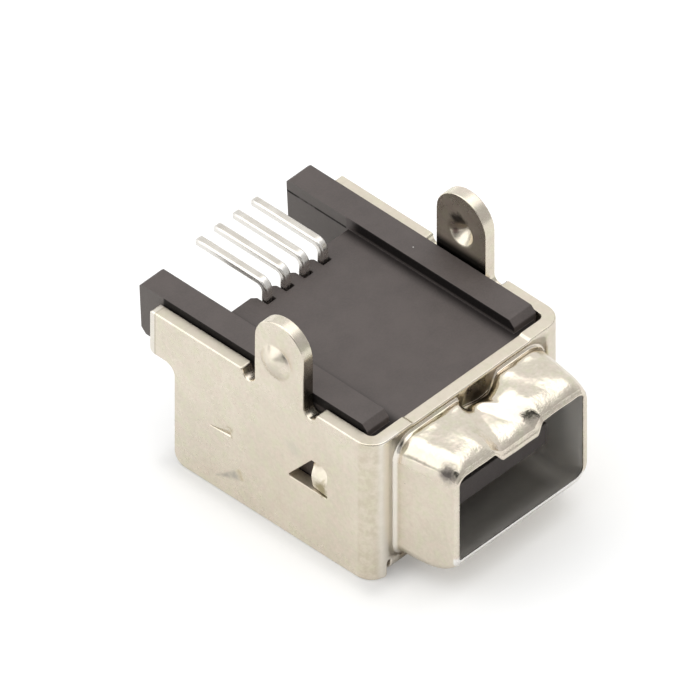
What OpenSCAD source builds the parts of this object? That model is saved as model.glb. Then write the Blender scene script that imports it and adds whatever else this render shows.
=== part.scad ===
// Four-contact serial bus socket for surface mounting, lying on the roof of its shell.
// The board side is up: the ears, the rails and the contact tails all point to +Z.
// Lengths are in millimetres. The plug enters from -Y.

/* [Shell] */
// Outside width over the side plates
shell_w = 8.3; // [7.8:0.1:9]
// Height from the roof to the top edge of the side plates
shell_h = 5.4; // [5.3:0.05:6]
// Thickness of the sheet
sheet_t = 0.44; // [0.3:0.01:0.44]
// Outside radius of the two front corners
corner_r = 0.65; // [0.5:0.05:0.8]
// Outside radius of the fold between the front wall and the roof
fold_r = 0.5; // [0.46:0.02:0.56]
// Length of the roof behind the face of the front wall
roof_len = 7.56; // [7.2:0.02:7.8]
// Gap between the roof and the side plates
roof_gap = 0.06; // [0.04:0.01:0.1]
// Length of the side plates behind the face of the front wall
plate_len = 8.12; // [7.8:0.02:8.4]
// Reach of the upper rear tab behind the side plate
tab_len = 1; // [0.8:0.05:1.3]
// Height of the upper rear tab
tab_h = 1.65; // [1.3:0.05:2]
// Radius of the lower rear corner of a side plate
plate_corner_r = 0.45; // [0.2:0.05:0.6]
// Radius of the lower corner of the tab
tab_corner_r = 0.2; // [0.1:0.02:0.3]
// Radius of the hollow between the tab and the plate
tab_fillet_r = 0.38; // [0.2:0.02:0.5]

/* [Ears] */
// Width of a board ear
ear_w = 2; // [1.6:0.05:2.2]
// Middle of the ears behind the face of the front wall
ear_y = 3.84; // [3.6:0.02:4.1]
// Rise of the ears above the top edge
ear_rise = 2.65; // [2.2:0.05:3.2]
// Width of the relief notches beside an ear
notch_w = 0.5; // [0.4:0.02:0.6]
// Depth of the relief notches
notch_d = 0.3; // [0.3:0.02:0.5]
// Diameter of the pressed cone on an ear
cone_d = 1.2; // [0.9:0.02:1.3]
// Reach of the pressed cone out of the ear
cone_h = 0.28; // [0.15:0.01:0.35]
// Middle of the pressed cone above the top edge
cone_rise = 1.1; // [1:0.02:1.4]

/* [Side windows] */
// Front edge of the window, where its flap bends in
window_y = 1.87; // [1.6:0.02:2.1]
// Length of the window along its lower edge
window_len = 1.62; // [1.3:0.02:1.8]
// Length of the window along its upper edge
window_top_len = 0.64; // [0.4:0.02:0.9]
// Lower edge of the window above the roof
window_z = 2.33; // [2.1:0.02:2.6]
// Height of the window
window_h = 1.16; // [0.9:0.02:1.4]
// Length of the flap, which is short of the window's rear end
flap_len = 0.6; // [0.4:0.02:0.62]
// Angle that the flap is bent in by
flap_angle = 27; // [15:1:30]
// Front end of the small pressed barb near the rear
barb_y = 5.8; // [5.6:0.02:6.2]
// Length of the small barb
barb_len = 1; // [0.7:0.02:1.2]
// Height of the small barb at its front end
barb_h = 0.4; // [0.25:0.01:0.5]
// Depth that the barb is pressed in at its front end
barb_d = 0.12; // [0.05:0.01:0.2]

/* [Nose] */
// Length of the drawn nose in front of the wall
nose_len = 2.19; // [1.8:0.01:2.6]
// Wall of the nose
nose_t = 0.2; // [0.16:0.01:0.26]
// Inside width of the mouth
mouth_w = 5.3; // [5:0.05:5.5]
// Inside height of the mouth
mouth_h = 3.15; // [2.9:0.05:3.3]
// Inside floor of the mouth above the roof
mouth_z = 1.47; // [1.3:0.01:1.6]
// Inside radius of the lower corners of the mouth
mouth_low_r = 0.35; // [0.2:0.01:0.5]
// Inside radius of the upper corners of the mouth
mouth_high_r = 0.12; // [0.1:0.01:0.3]
// Outside width of the nose where it leaves the wall
root_w = 6.4; // [6.1:0.05:6.7]
// Drop from the top edge of the wall to the top of the nose
root_drop = 0.28; // [0.2:0.01:0.4]
// Underside of the nose above the roof, where it leaves the wall
root_z = 0.6; // [0.55:0.01:0.8]
// Inside radius of the shoulders of the nose at the wall
shoulder_r = 0.5; // [0.3:0.02:0.7]
// Width of the key dent, inside the mouth
key_w = 1.88; // [1.6:0.02:2.1]
// Width of the flat of the key dent, inside the mouth
key_flat = 1.1; // [0.9:0.02:1.3]
// Depth of the key dent
key_d = 0.5; // [0.3:0.01:0.6]
// Share of that depth left halfway along the nose
key_saddle = 0.5; // [0.3:0.05:0.9]

/* [Housing] */
// Clearance between the housing and the shell
fit = 0.05; // [0.03:0.01:0.08]
// Length of the housing behind the face of the front wall
housing_len = 7.47; // [7.3:0.01:7.7]
// Width of a rail
rail_w = 0.97; // [0.8:0.01:1.05]
// Stand of the rails above the top edge of the shell
rail_stand = 0.22; // [0.1:0.01:0.3]
// Gap between the inside of the front wall and the rails
rail_gap = 0.26; // [0.2:0.01:0.4]
// Chamfer on the ends of the rails
rail_chamfer = 0.2; // [0.1:0.01:0.3]
// Drop from the rails to the panel between them
panel_drop = 0.42; // [0.3:0.01:0.5]
// Reach of the arms behind the housing
arm_len = 2.54; // [2.2:0.02:2.8]
// Height of the arms
arm_h = 1.88; // [1.6:0.02:2.1]
// Draft of the end of an arm, over its height
arm_draft = 0.08; // [0.02:0.01:0.15]
// Width of the rear recess that the contacts rise in
recess_w = 2.76; // [2.74:0.01:3.1]
// Depth of the rear recess
recess_d = 0.37; // [0.25:0.01:0.45]
// Reach of the round ribs between the contacts out of the wall of the recess
rib_reach = 0.3; // [0.26:0.01:0.36]
// Chamfer beside the rear recess
recess_chamfer = 0.14; // [0.05:0.01:0.2]
// Depth of the plug cavity behind the front wall
cavity_d = 3.8; // [3.2:0.05:4.3]
// Width of the tongue
tongue_w = 3.8; // [3.3:0.05:4.2]
// Thickness of the tongue
tongue_t = 0.8; // [0.7:0.02:1]
// Setback of the tongue behind the mouth
tongue_setback = 0.8; // [0.4:0.02:1.2]

/* [Contacts] */
// Spacing of the contacts
pitch = 0.8; // [0.74:0.01:0.82]
// Width of a contact
contact_w = 0.3; // [0.24:0.01:0.34]
// Thickness of a contact
contact_t = 0.25; // [0.2:0.01:0.28]
// Outside radius of the bends of a contact
bend_r = 0.42; // [0.34:0.01:0.5]
// Stand of the tails above the rails
tail_stand = 0.3; // [0.2:0.01:0.4]
// Distance from the ends of the arms to the ends of the tails
tail_inset = 0.09; // [0.02:0.01:0.3]
// Stand of a contact above the face of the tongue
contact_stand = 0.1; // [0.05:0.01:0.14]
// Distance from the front of the tongue to the tip of a contact
tip_setback = 0.4; // [0.2:0.02:0.8]
// Clearance between a contact and the housing
contact_fit = 0.03; // [0.02:0.005:0.05]
// Gap of the slot in front of each rising contact
slot_gap = 0.07; // [0.06:0.01:0.16]

/* [Hidden] */
$fn = 64;
contact_count = 4;

// Overshoot of every cut
over = 0.5;
// Distance that the full mouth outline runs on past the lip
lip_over = 0.02;
// Kerf round the bent flap
kerf = 0.03;
// Room left behind the flap for the curl of its upper end
flap_curl = 0.3;
// Radius of the tip of the pressed cone
cone_tip_r = 0.12;
// Radius at the rim, depth and tip radius of the hollow behind the cone
hollow_r = cone_d / 2 - 0.08;
hollow_d = cone_h + sheet_t / 3;
hollow_tip_r = 0.06;
hollow_slope = (hollow_r - hollow_tip_r) / hollow_d;
// Width and height of the relief slots beside the fold of the roof
relief_w = 0.15;
relief_h = 0.58;
// Chamfer that clears the housing past the inside radii of the shell
block_chamfer = 0.3;

// Levels above the roof
rail_z = shell_h + rail_stand;
panel_z = rail_z - panel_drop;
ear_z = shell_h + ear_rise;
arm_z = rail_z - arm_h;
tongue_z = mouth_z + mouth_h / 2 - tongue_t / 2;
contact_z = tongue_z + tongue_t + contact_stand - contact_t;
tail_z = rail_z + tail_stand;

// Places behind the face of the front wall
block_y = sheet_t + fit;
rail_y = sheet_t + rail_gap;
cavity_y = sheet_t + cavity_d;
recess_y = housing_len - recess_d;
arm_y = housing_len + arm_len;
tongue_y = tongue_setback - nose_len;
// The rising stretch of a contact stands half in the wall of the recess
rise_y = recess_y - contact_t / 2;
tail_y = arm_y - tail_inset;

// Half widths
inner_x = shell_w / 2 - sheet_t;
block_x = inner_x - fit;
rail_x = block_x - rail_w;
roof_x = inner_x - roof_gap;
fold_x = shell_w / 2 - corner_r - relief_w;

// The origin is under the middle of the whole part, so the front wall stands at this Y
front_y = (nose_len - arm_y) / 2;

// Stretch along the nose of each ring of its loft, from the wall to the mouth
nose_steps = [0, 0.2, 0.4, 0.58, 0.72, 0.83, 0.92, 1];
// Points across each flank of the key dent, and along each corner arc
flank_steps = [1, 0.75, 0.5, 0.25, 0];
arc_steps = [0, 22.5, 45, 67.5, 90];

function mix(a, b, t) = a + (b - a) * t;
function smooth(t) = t * t * (3 - 2 * t);

// Points of a corner arc round a centre, from one angle on
function arc(x, z, r, start) = [for (a = arc_steps) [x + r * cos(start + a), z + r * sin(start + a)]];

// Depth of the key dent at a stretch along the nose
function dent(t) = key_d * (1 - (1 - key_saddle) * sin(180 * t));

// Outline of the nose in X and Z at a stretch t, moved out of the inside face by skin
function nose_outline(t, skin) =
    let (
        draw = pow(t, 4),
        half = mix(root_w / 2 - nose_t, mouth_w / 2, t) + skin,
        top = mix(shell_h - root_drop - nose_t, mouth_z + mouth_h, draw) + skin,
        low = mix(root_z + nose_t, mouth_z, draw) - skin,
        low_r = mouth_low_r + skin,
        high_r = mix(shoulder_r, mouth_high_r, draw) + skin,
        flat = (key_flat - skin) / 2,
        flank = (key_w - key_flat) / 2,
        right = [for (s = flank_steps) [flat + s * flank, top - dent(t) * smooth(1 - s)]],
        left = [for (i = [len(right) - 1 : -1 : 0]) [-right[i][0], right[i][1]]]
    )
    concat(
        arc(half - low_r, low + low_r, low_r, -90),
        arc(half - high_r, top - high_r, high_r, 0),
        right,
        left,
        arc(high_r - half, top - high_r, high_r, 90),
        arc(low_r - half, low + low_r, low_r, 180)
    );

function nose_ring(t, y, skin) = [for (p = nose_outline(t, skin)) [p[0], y, p[1]]];

// Solid of the nose, moved out of the inside face by skin and drawn out to both ends
module nose_solid(skin, root_y, mouth_y) {
    rings = concat(
        [nose_ring(0, root_y, skin)],
        [for (t = nose_steps) nose_ring(t, mix(sheet_t / 2, -nose_len - lip_over, t), skin)],
        [nose_ring(1, mouth_y, skin)]
    );
    count = len(rings[0]);
    last = len(rings) - 1;
    sides = [
        for (i = [0 : last - 1])
            for (j = [0 : count - 1])
                let (a = i * count + j, b = i * count + (j + 1) % count)
                    each [[a, b + count, b], [a, a + count, b + count]]
    ];
    root_cap = [for (j = [0 : count - 1]) j];
    mouth_cap = [for (j = [count - 1 : -1 : 0]) last * count + j];
    polyhedron([for (ring = rings) each ring], concat(sides, [root_cap, mouth_cap]));
}

// What is left outside a rounded corner at the origin, for cutting it round
module corner_waste(r) {
    difference() {
        translate([-over, -over]) square(r + over);
        translate([r, r]) circle(r);
        translate([-over, r]) square([over, over]);
        translate([r, -over]) square([over, over]);
    }
}

// A rectangle open to +Y, with its two lower corners rounded
module tray(half, low, high, r) {
    difference() {
        translate([-half, low]) square([2 * half, high - low]);
        for (side = [0, 1])
            mirror([side, 0]) translate([-half, low]) corner_waste(r);
    }
}

// Extrusions of an outline along the three directions
module along_x(length) rotate([90, 0, 90]) linear_extrude(length, center = true) children();
module along_y(length) translate([0, length, 0]) rotate([90, 0, 0]) linear_extrude(length) children();
module both_sides() {
    for (side = [0, 1]) mirror([side, 0, 0]) children();
}
// Moves what is drawn from the face of the front wall to its place in the part
module placed() translate([0, front_y, 0]) children();

// Outline of the shell from the side, in Y and Z
module shell_side() {
    tab_z = shell_h - tab_h;
    plate_end = plate_len + tab_len;
    difference() {
        union() {
            square([plate_len, shell_h]);
            translate([0, tab_z]) square([plate_end, tab_h]);
            translate([ear_y - ear_w / 2, 0]) square([ear_w, ear_z - ear_w / 2]);
            translate([ear_y, ear_z - ear_w / 2]) circle(ear_w / 2);
            translate([plate_len, tab_z]) mirror([0, 1]) difference() {
                translate([-over, -over]) square(tab_fillet_r + over);
                translate([tab_fillet_r, tab_fillet_r]) circle(tab_fillet_r);
                translate([tab_fillet_r, -over]) square([over, over]);
                translate([-over, tab_fillet_r]) square([over, over]);
            }
        }
        translate([plate_len, 0]) mirror([1, 0]) corner_waste(plate_corner_r);
        translate([plate_end, tab_z]) mirror([1, 0]) corner_waste(tab_corner_r);
        for (way = [-1, 1])
            translate([ear_y + way * (ear_w + notch_w) / 2, shell_h - notch_d]) {
                translate([0, notch_w / 2]) circle(notch_w / 2);
                translate([-notch_w / 2, notch_w / 2]) square([notch_w, notch_d]);
            }
    }
}

// The front wall and the two side plates, bent from one strip and cut to the side outline
module shell_walls() {
    intersection() {
        linear_extrude(ear_z + over) difference() {
            tray(shell_w / 2, 0, arm_y, corner_r);
            tray(inner_x, sheet_t, arm_y + over, corner_r - sheet_t);
        }
        along_x(shell_w + over) shell_side();
    }
}

// The roof, folded back from the front wall and free of the side plates
module roof() {
    linear_extrude(sheet_t) difference() {
        union() {
            translate([-fold_x, 0]) square([2 * fold_x, corner_r + over]);
            translate([-roof_x, corner_r]) square([2 * roof_x, roof_len - corner_r]);
        }
        for (side = [0, 1])
            mirror([side, 0]) translate([-roof_x, roof_len]) mirror([0, 1]) corner_waste(plate_corner_r);
    }
}

// What the fold of the roof leaves: its outside radius, and a relief slot at each end
module fold_cuts() {
    along_x(2 * fold_x) corner_waste(fold_r);
    both_sides() translate([fold_x, -over, -over]) cube([relief_w, sheet_t + 2 * fit + over, relief_h + over]);
}

module window_outline() {
    polygon([
        [0, 0],
        [window_len, 0],
        [window_top_len, window_h],
        [0, window_h]
    ]);
}

module flap_outline() {
    polygon([
        [-2 * kerf, kerf],
        [flap_len, kerf],
        [flap_len, window_h - kerf],
        [-2 * kerf, window_h - kerf]
    ]);
}

// Sheet outline in Y and Z with its outside face at X = 0 and its thickness towards -X
module sheet_piece(thickness) rotate([90, 0, 90]) translate([0, 0, -thickness]) linear_extrude(thickness) children();

// Features of the right-hand side plate, which the left-hand one mirrors
module plate_cuts() {
    translate([shell_w / 2, window_y, window_z])
        rotate([90, 0, 90]) translate([0, 0, -sheet_t - over]) linear_extrude(sheet_t + 2 * over) window_outline();
    translate([shell_w / 2, barb_y + barb_len, window_z])
        rotate([0, 0, -atan(barb_d / barb_len)])
            rotate([90, 0, 90]) linear_extrude(over) polygon([[0, 0], [-barb_len, barb_h], [-barb_len, 0]]);
    translate([inner_x - cone_h, ear_y, shell_h + cone_rise])
        rotate([0, 90, 0]) cylinder(h = hollow_d + cone_h, r1 = hollow_r + cone_h * hollow_slope, r2 = hollow_tip_r);
}

// The flap starts inside the plate, so that the two are one sheet
module flap() {
    translate([shell_w / 2 - kerf, window_y, window_z])
        rotate([0, 0, flap_angle]) sheet_piece(sheet_t) flap_outline();
}

// The cone runs on inside the ear at the same slope, so that the two are one sheet
module ear_cone() {
    root = sheet_t / 4;
    slope = (cone_d / 2 - cone_tip_r) / cone_h;
    translate([shell_w / 2 - root, ear_y, shell_h + cone_rise])
        rotate([0, 90, 0]) cylinder(h = cone_h + root, r1 = cone_d / 2 + root * slope, r2 = cone_tip_r);
}

module shell() {
    color("#dcd4c3") placed() {
        difference() {
            union() {
                shell_walls();
                roof();
                both_sides() ear_cone();
                nose_solid(nose_t, sheet_t * 3 / 4, -nose_len - over);
            }
            nose_solid(0, sheet_t + over, -nose_len - 2 * over);
            translate([-shell_w, -nose_len - 3 * over, 0]) cube([2 * shell_w, 3 * over, shell_h]);
            both_sides() plate_cuts();
            fold_cuts();
        }
        both_sides() flap();
    }
}

// The moulded block without its cuts, filling the shell between its folds
module housing_block() {
    length = housing_len - block_y;
    intersection() {
        translate([0, block_y, 0]) along_y(length) polygon([
            [block_x, panel_z],
            [-block_x, panel_z],
            [-block_x, sheet_t + block_chamfer],
            [block_chamfer - block_x, sheet_t],
            [block_x - block_chamfer, sheet_t],
            [block_x, sheet_t + block_chamfer]
        ]);
        linear_extrude(rail_z) polygon([
            [block_x, housing_len],
            [-block_x, housing_len],
            [-block_x, block_y + block_chamfer],
            [block_chamfer - block_x, block_y],
            [block_x - block_chamfer, block_y],
            [block_x, block_y + block_chamfer]
        ]);
        along_x(shell_w) polygon([
            [block_y, panel_z],
            [block_y, sheet_t + block_chamfer],
            [block_y + block_chamfer, sheet_t],
            [housing_len, sheet_t],
            [housing_len, panel_z]
        ]);
    }
}

// A rail and the arm that it runs on into, on the right-hand side
module rail_and_arm() {
    translate([rail_x + rail_w / 2, 0, 0]) along_x(rail_w) polygon([
        [rail_y, arm_z],
        [rail_y, rail_z - rail_chamfer],
        [rail_y + rail_chamfer, rail_z],
        [arm_y - rail_chamfer / 2, rail_z],
        [arm_y, rail_z - rail_chamfer / 2],
        [arm_y - arm_draft, arm_z + rail_chamfer],
        [arm_y - arm_draft - rail_chamfer, arm_z]
    ]);
}

module plug_cavity() {
    half = mouth_w / 2 + fit;
    translate([-half, block_y - over, mouth_z - fit])
        cube([2 * half, cavity_y - block_y + over, mouth_h + 2 * fit]);
}

module tongue() {
    translate([-tongue_w / 2, tongue_y, tongue_z]) cube([tongue_w, cavity_y - tongue_y + over, tongue_t]);
}

// Pocket in the right-hand side of the housing for the bent flap of the shell, with room for its curl
module flap_pocket() {
    reach = flap_len * sin(flap_angle) + flap_curl + fit;
    translate([inner_x - reach, window_y - sheet_t, window_z - fit])
        cube([reach + over, flap_len + sheet_t + 2 * fit, window_h + 2 * fit]);
}

// Room in the housing for one contact: its groove and hole, and the slot that it rises in
module contact_room() {
    room_w = contact_w + 2 * contact_fit;
    slot_y = rise_y - slot_gap;
    translate([-room_w / 2, tongue_y + tip_setback - contact_fit, contact_z])
        cube([room_w, housing_len - tongue_y, contact_t + 2 * contact_fit]);
    translate([-room_w / 2, slot_y, contact_z]) cube([room_w, housing_len - slot_y + over, rail_z - contact_z]);
}

module rear_recess() {
    half = recess_w / 2;
    translate([0, 0, contact_z]) linear_extrude(rail_z - contact_z) polygon([
        [-half, recess_y],
        [half, recess_y],
        [half, housing_len - recess_chamfer],
        [half + recess_chamfer, housing_len],
        [half + recess_chamfer, housing_len + over],
        [-half - recess_chamfer, housing_len + over],
        [-half - recess_chamfer, housing_len],
        [-half, housing_len - recess_chamfer]
    ]);
}

// Rounded ribs on the wall of the recess, one between each two contacts
module recess_ribs() {
    rib_r = (pitch - contact_w) / 2;
    for (i = [1 : contact_count - 1])
        translate([contact_x(i) + pitch / 2, recess_y + rib_reach - rib_r, contact_z]) {
            cylinder(h = panel_z - contact_z, r = rib_r);
            translate([-rib_r, -over, 0]) cube([2 * rib_r, over, panel_z - contact_z]);
        }
}

module housing() {
    color("#3b3837") placed() difference() {
        union() {
            difference() {
                union() {
                    housing_block();
                    both_sides() rail_and_arm();
                }
                plug_cavity();
                both_sides() flap_pocket();
                rear_recess();
            }
            tongue();
            recess_ribs();
        }
        for (i = [1 : contact_count]) translate([contact_x(i), 0, 0]) contact_room();
    }
}

// A quarter of a bend in Y and Z round the origin, turned by its start angle
module bend(start) {
    rotate(start) intersection() {
        difference() {
            circle(bend_r);
            circle(bend_r - contact_t);
        }
        square(bend_r + over);
    }
}

// Side outline of a contact: beam along the tongue, rise behind the housing, tail to the rear
module contact_side() {
    tip_y = tongue_y + tip_setback;
    back_y = rise_y + contact_t;
    translate([tip_y, contact_z]) square([back_y - bend_r - tip_y, contact_t]);
    translate([back_y - bend_r, contact_z + bend_r]) bend(-90);
    translate([rise_y, contact_z + bend_r]) square([contact_t, tail_z - contact_z - 2 * bend_r]);
    translate([rise_y + bend_r, tail_z - bend_r]) bend(90);
    translate([rise_y + bend_r, tail_z - contact_t]) square([tail_y - rise_y - bend_r, contact_t]);
}

function contact_x(i) = (i - (contact_count + 1) / 2) * pitch;

module contact(i) {
    color("#e9e6df") placed() translate([contact_x(i), 0, 0]) along_x(contact_w) contact_side();
}

shell();
housing();
contact(1);  // contact_1
contact(2);  // contact_2
contact(3);  // contact_3
contact(4);  // contact_4
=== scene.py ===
"""Looks of the four-contact serial bus socket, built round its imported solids.

Shapes are worked out in millimetres, with Y = 0 on the outside of the front wall.
Skin.make places them in the frame.
"""

import math

import bpy
import numpy as np
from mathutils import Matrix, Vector
from mathutils.geometry import delaunay_2d_cdt


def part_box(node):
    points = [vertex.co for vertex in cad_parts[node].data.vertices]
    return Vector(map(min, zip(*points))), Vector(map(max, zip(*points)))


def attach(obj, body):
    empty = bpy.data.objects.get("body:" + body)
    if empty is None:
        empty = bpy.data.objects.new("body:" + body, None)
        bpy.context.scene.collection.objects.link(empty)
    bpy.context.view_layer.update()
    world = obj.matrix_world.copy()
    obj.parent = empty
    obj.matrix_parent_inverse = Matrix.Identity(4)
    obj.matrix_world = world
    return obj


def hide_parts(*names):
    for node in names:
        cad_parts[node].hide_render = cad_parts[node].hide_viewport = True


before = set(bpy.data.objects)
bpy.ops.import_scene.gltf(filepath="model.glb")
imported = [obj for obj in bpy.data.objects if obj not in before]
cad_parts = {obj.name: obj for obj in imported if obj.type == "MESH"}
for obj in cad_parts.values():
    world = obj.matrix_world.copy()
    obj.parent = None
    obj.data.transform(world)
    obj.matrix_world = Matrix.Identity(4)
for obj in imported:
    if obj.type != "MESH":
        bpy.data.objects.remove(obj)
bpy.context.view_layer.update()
MM = 0.001
QUARTER = math.pi / 2

# Sizes of the shell, in millimetres
SHEET_T = 0.44
SHELL_H = 5.4
SHELL_W = 8.3
CORNER_R = 0.65
FOLD_R = 0.5
PLATE_LEN = 8.12
TAB_LEN = 1.0
TAB_H = 1.65
PLATE_CORNER_R = 0.45
TAB_CORNER_R = 0.2
TAB_FILLET_R = 0.38
MIN_CORNER_R = 0.1
ROOF_LEN = 7.56
ROOF_GAP = 0.06

# The slots beside the roof's fold
# The roof's part of the blank reaches IN_SLOT into them and starts UNDER_PLATE below the plates
SLOT_W = 0.15
SLOT_H = 0.58
IN_SLOT = 0.04
UNDER_PLATE = 0.02

# The ears, with a pressed bump on the outside of each
EAR_W = 2.0
EAR_Y = 3.84
EAR_RISE = 2.65
NOTCH_W = 0.5
NOTCH_D = 0.3
CONE_R = 0.62
CONE_H = 0.28
CONE_RISE = 1.1
CONE_TIP_UP = 0.14
CONE_BACK = 0.1
CONE_RING = 0.1
CONE_POWER = 1.7

# The crease round a bump: depth, place and width as shares of the bump's radius, direction
CREASE_D = 0.03
CREASE_AT = 0.94
CREASE_W = 0.05
CREASE_TURN = math.radians(155)

# The hollow on the inside of an ear, and the direction in which its wall flares out
HOLLOW_R = 0.5
HOLLOW_D = 0.36
HOLLOW_RISE = 1.27
FLARE_TURN = math.radians(65)
FLARE_MIDDLE = 0.4
FLARE_POWER = 1.5

# The windows of the side plates with their flaps, and the barbs
WINDOW_Y = 1.87
WINDOW_LEN = 1.62
WINDOW_TOP_LEN = 0.64
WINDOW_Z = 2.33
WINDOW_H = 1.16
WINDOW_CORNER_R = 0.3
FLAP_LEN = 0.68
FLAP_H = 1.08
FLAP_SLANT = 0.26
FLAP_LEAN = 0.7
FLAP_BEND = 0.06
FLAP_BEND_POWER = 1.3
FLAP_FOLD_Z = 0.42
FLAP_FOLD_SOFT = 0.004
FLAP_ROOT = 0.12
FLAP_KERF = 0.03
BARB_Y = 5.8
BARB_LEN = 1.0
BARB_H = 0.4
BARB_D = 0.12
BARB_TIP_D = 0.03
BARB_FLOOR = 0.9
BARB_RADII = (0.02, 0.05, 0.03)

# Walls of a barb from its rim down: size, share of the depth, lean in degrees
BARB_WALLS = ((1.0, 0.0, 0), (0.985, 0.1, 24), (0.965, 0.4, 40), (0.94, 0.75, 42), (0.91, 1.0, 26))

# Low middle stretch of the front wall's top edge
TICK_RIGHT = 2.71
TICK_LEFT = 2.44
TICK_H = 0.05
TICK_RUN = 0.1
TICK_R = 0.09

# Sizes of the nose
NOSE_LEN = 2.19
NOSE_T = 0.2
MOUTH_W = 5.3
MOUTH_H = 3.15
MOUTH_Z = 1.47
MOUTH_LOW_R = 0.35
MOUTH_LEFT_R = 0.06
MOUTH_HIGH_R = 0.26
ROOT_LOW_R = 0.35
ROOT_W = 6.4
ROOT_DROP = 0.28
ROOT_Z = 0.6
SHOULDER_R = 0.5
ROOT_FILLET = 0.1
LIP_R = 0.09
LIP_INNER_R = 0.08
LIP_T = 0.12
TOP_ROLL_START = 1.1
TOP_ROLL_POWER = 3
DRAW_POWER = 4
DRAWN_Z = 4.2
DRAWN_SOFT = 0.4

# Distances from the wall, and where the pressed valley of the key runs there
STATIONS = (0.0, 0.5, 1.2, 1.75, NOSE_LEN)
LEFT_CREST = (-0.52, -0.95, -1.45, -1.50, -1.22)
LEFT_FOOT = (-0.26, -0.30, -0.45, -0.60, -0.76)
RIGHT_FOOT = (0.80, 0.10, -0.10, 0.32, 0.68)
RIGHT_CREST = (1.20, 1.14, 1.02, 0.96, 0.92)
VALLEY_DEPTH = (0.50, 0.24, 0.29, 0.32, 0.34)
VALLEY_LIP = 0.14
VALLEY_LIP_START = 1.2

# Rises and hollows left by the press: middle (x, distance from the wall), size, height, turn in degrees
PRESS_MARKS = (
    ((0.05, 0.62), (0.42, 0.16), 0.10, 58),
    ((0.45, 0.00), (0.60, 0.15), -0.16, 0),
    ((-1.75, 0.16), (0.50, 0.26), 0.05, 12),
    ((-0.80, 0.10), (0.22, 0.20), 0.06, 0),
    ((2.25, 0.14), (0.42, 0.26), 0.06, -10),
    ((1.45, 0.20), (0.30, 0.30), 0.05, 20),
    ((-1.70, 0.85), (0.70, 0.42), 0.03, 0),
    ((1.85, 0.85), (0.62, 0.40), 0.03, 0),
)

# The faint ripple is a product of two waves: how fast each turns with x and with the distance from the
# wall, and its first turn
RIPPLE_H = 0.012
RIPPLE_WAVES = ((4.1, 1.9, 0.6), (-1.3, 5.3, 1.1))

# Where the relief starts on the nose, how far down its top it reaches and how softly it ends there
RELIEF_START = 0.3
RELIEF_TOP = 0.45
RELIEF_SOFT = 0.4

# Sizes of the contacts and of the housing
CONTACTS = 4
PITCH = 0.8
CONTACT_W = 0.3
CONTACT_T = 0.25
CONTACT_EDGE_R = 0.075
CONTACT_END_R = 0.06
CONTACT_BEND_R = 0.42
CONTACT_TIP_Y = -0.99
CONTACT_Z = 3.295
RISE_Y = 6.975
TAIL_Y = 9.92
TAIL_Z = 5.92
HOUSING_EDGE_R = 0.05
HOUSING_EDGE_STEPS = 3
HOUSING_EDGE_TURN = math.radians(35)
HOUSING_FLAT_TURN = math.radians(1)
HOUSING_WELD = 0.0005
RAIL_X = 2.69
RAIL_FOOT_Z = 4.2
PANEL_Z = 5.2
ARM_Y = 7.5

# Rounding of the cut edges: rolled over on the outside, a slight burr on the inside
ROLL_R = 0.055
WINDOW_ROLL_R = 0.03
BURR_R = 0.03

# Fineness of the meshes: lengths of steps in millimetres, angles in degrees, counts
OUTLINE_STEP = 0.12
BARB_STEP = 0.05
ARC_STEP = 12.0
STRIP_ARC_STEP = 15.0
ROLL_STEPS = 5
BURR_STEPS = 3
ROUND_STEPS = 5
LIP_STEPS = 4
BEND_STEPS = 16
FOLD_STEPS = 10
BEND_SPACING = 0.2
BEND_MARGIN = 0.15
FOLD_MARGIN = 0.1
FLAP_RUN_STEP = 0.06
FLAP_RISE_STEP = 0.04
FLAP_MARGIN = 0.1
SLOPE_STEP = 0.01
BEAM_STEPS = 8
LOW_BEND_STEPS = 11
HIGH_BEND_STEPS = 15
TAIL_STEPS = 8
CIRCLE_POINTS = 64
CONE_RINGS = 31
FINE_FROM = 0.8
COARSE_RINGS = 36
FINE_RINGS = 22
FILL_CLEAR = 0.03
WELD = 1e-4
HAIR = 0.001
SNAP = 1e-7
NO_LENGTH = 1e-6
TINY = 1e-9

# Points on each stretch of the nose's half outline: floor, lower corner, side, shoulder, top
HALF_COUNTS = (20, 16, 26, 26, 96)

# How rough the sheet is: faces, cut edges, bumps, window edges, the mouth's lining, the drawn nose
FACE_FINISH = 0.36
EDGE_FINISH = 0.25
CONE_FINISH = 0.3
WINDOW_FINISH = 0.5
LINING_FINISH = 0.72
NOSE_FINISH = 0.17

# Derived places
INNER_X = SHELL_W / 2 - SHEET_T
ROOF_X = INNER_X - ROOF_GAP
FLAT_X = SHELL_W / 2 - CORNER_R
FOLD_X = FLAT_X - SLOT_W
BEND_LEN = CORNER_R * QUARTER
FOLD_LEN = FOLD_R * QUARTER
EAR_Z = SHELL_H + EAR_RISE
EAR_FRONT = EAR_Y - EAR_W / 2
EAR_BACK = EAR_Y + EAR_W / 2
TAB_END = PLATE_LEN + TAB_LEN
WALL_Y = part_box("shell")[0].y / MM + NOSE_LEN
CIRCLE_TURNS = np.arange(CIRCLE_POINTS) * 2 * math.pi / CIRCLE_POINTS

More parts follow.
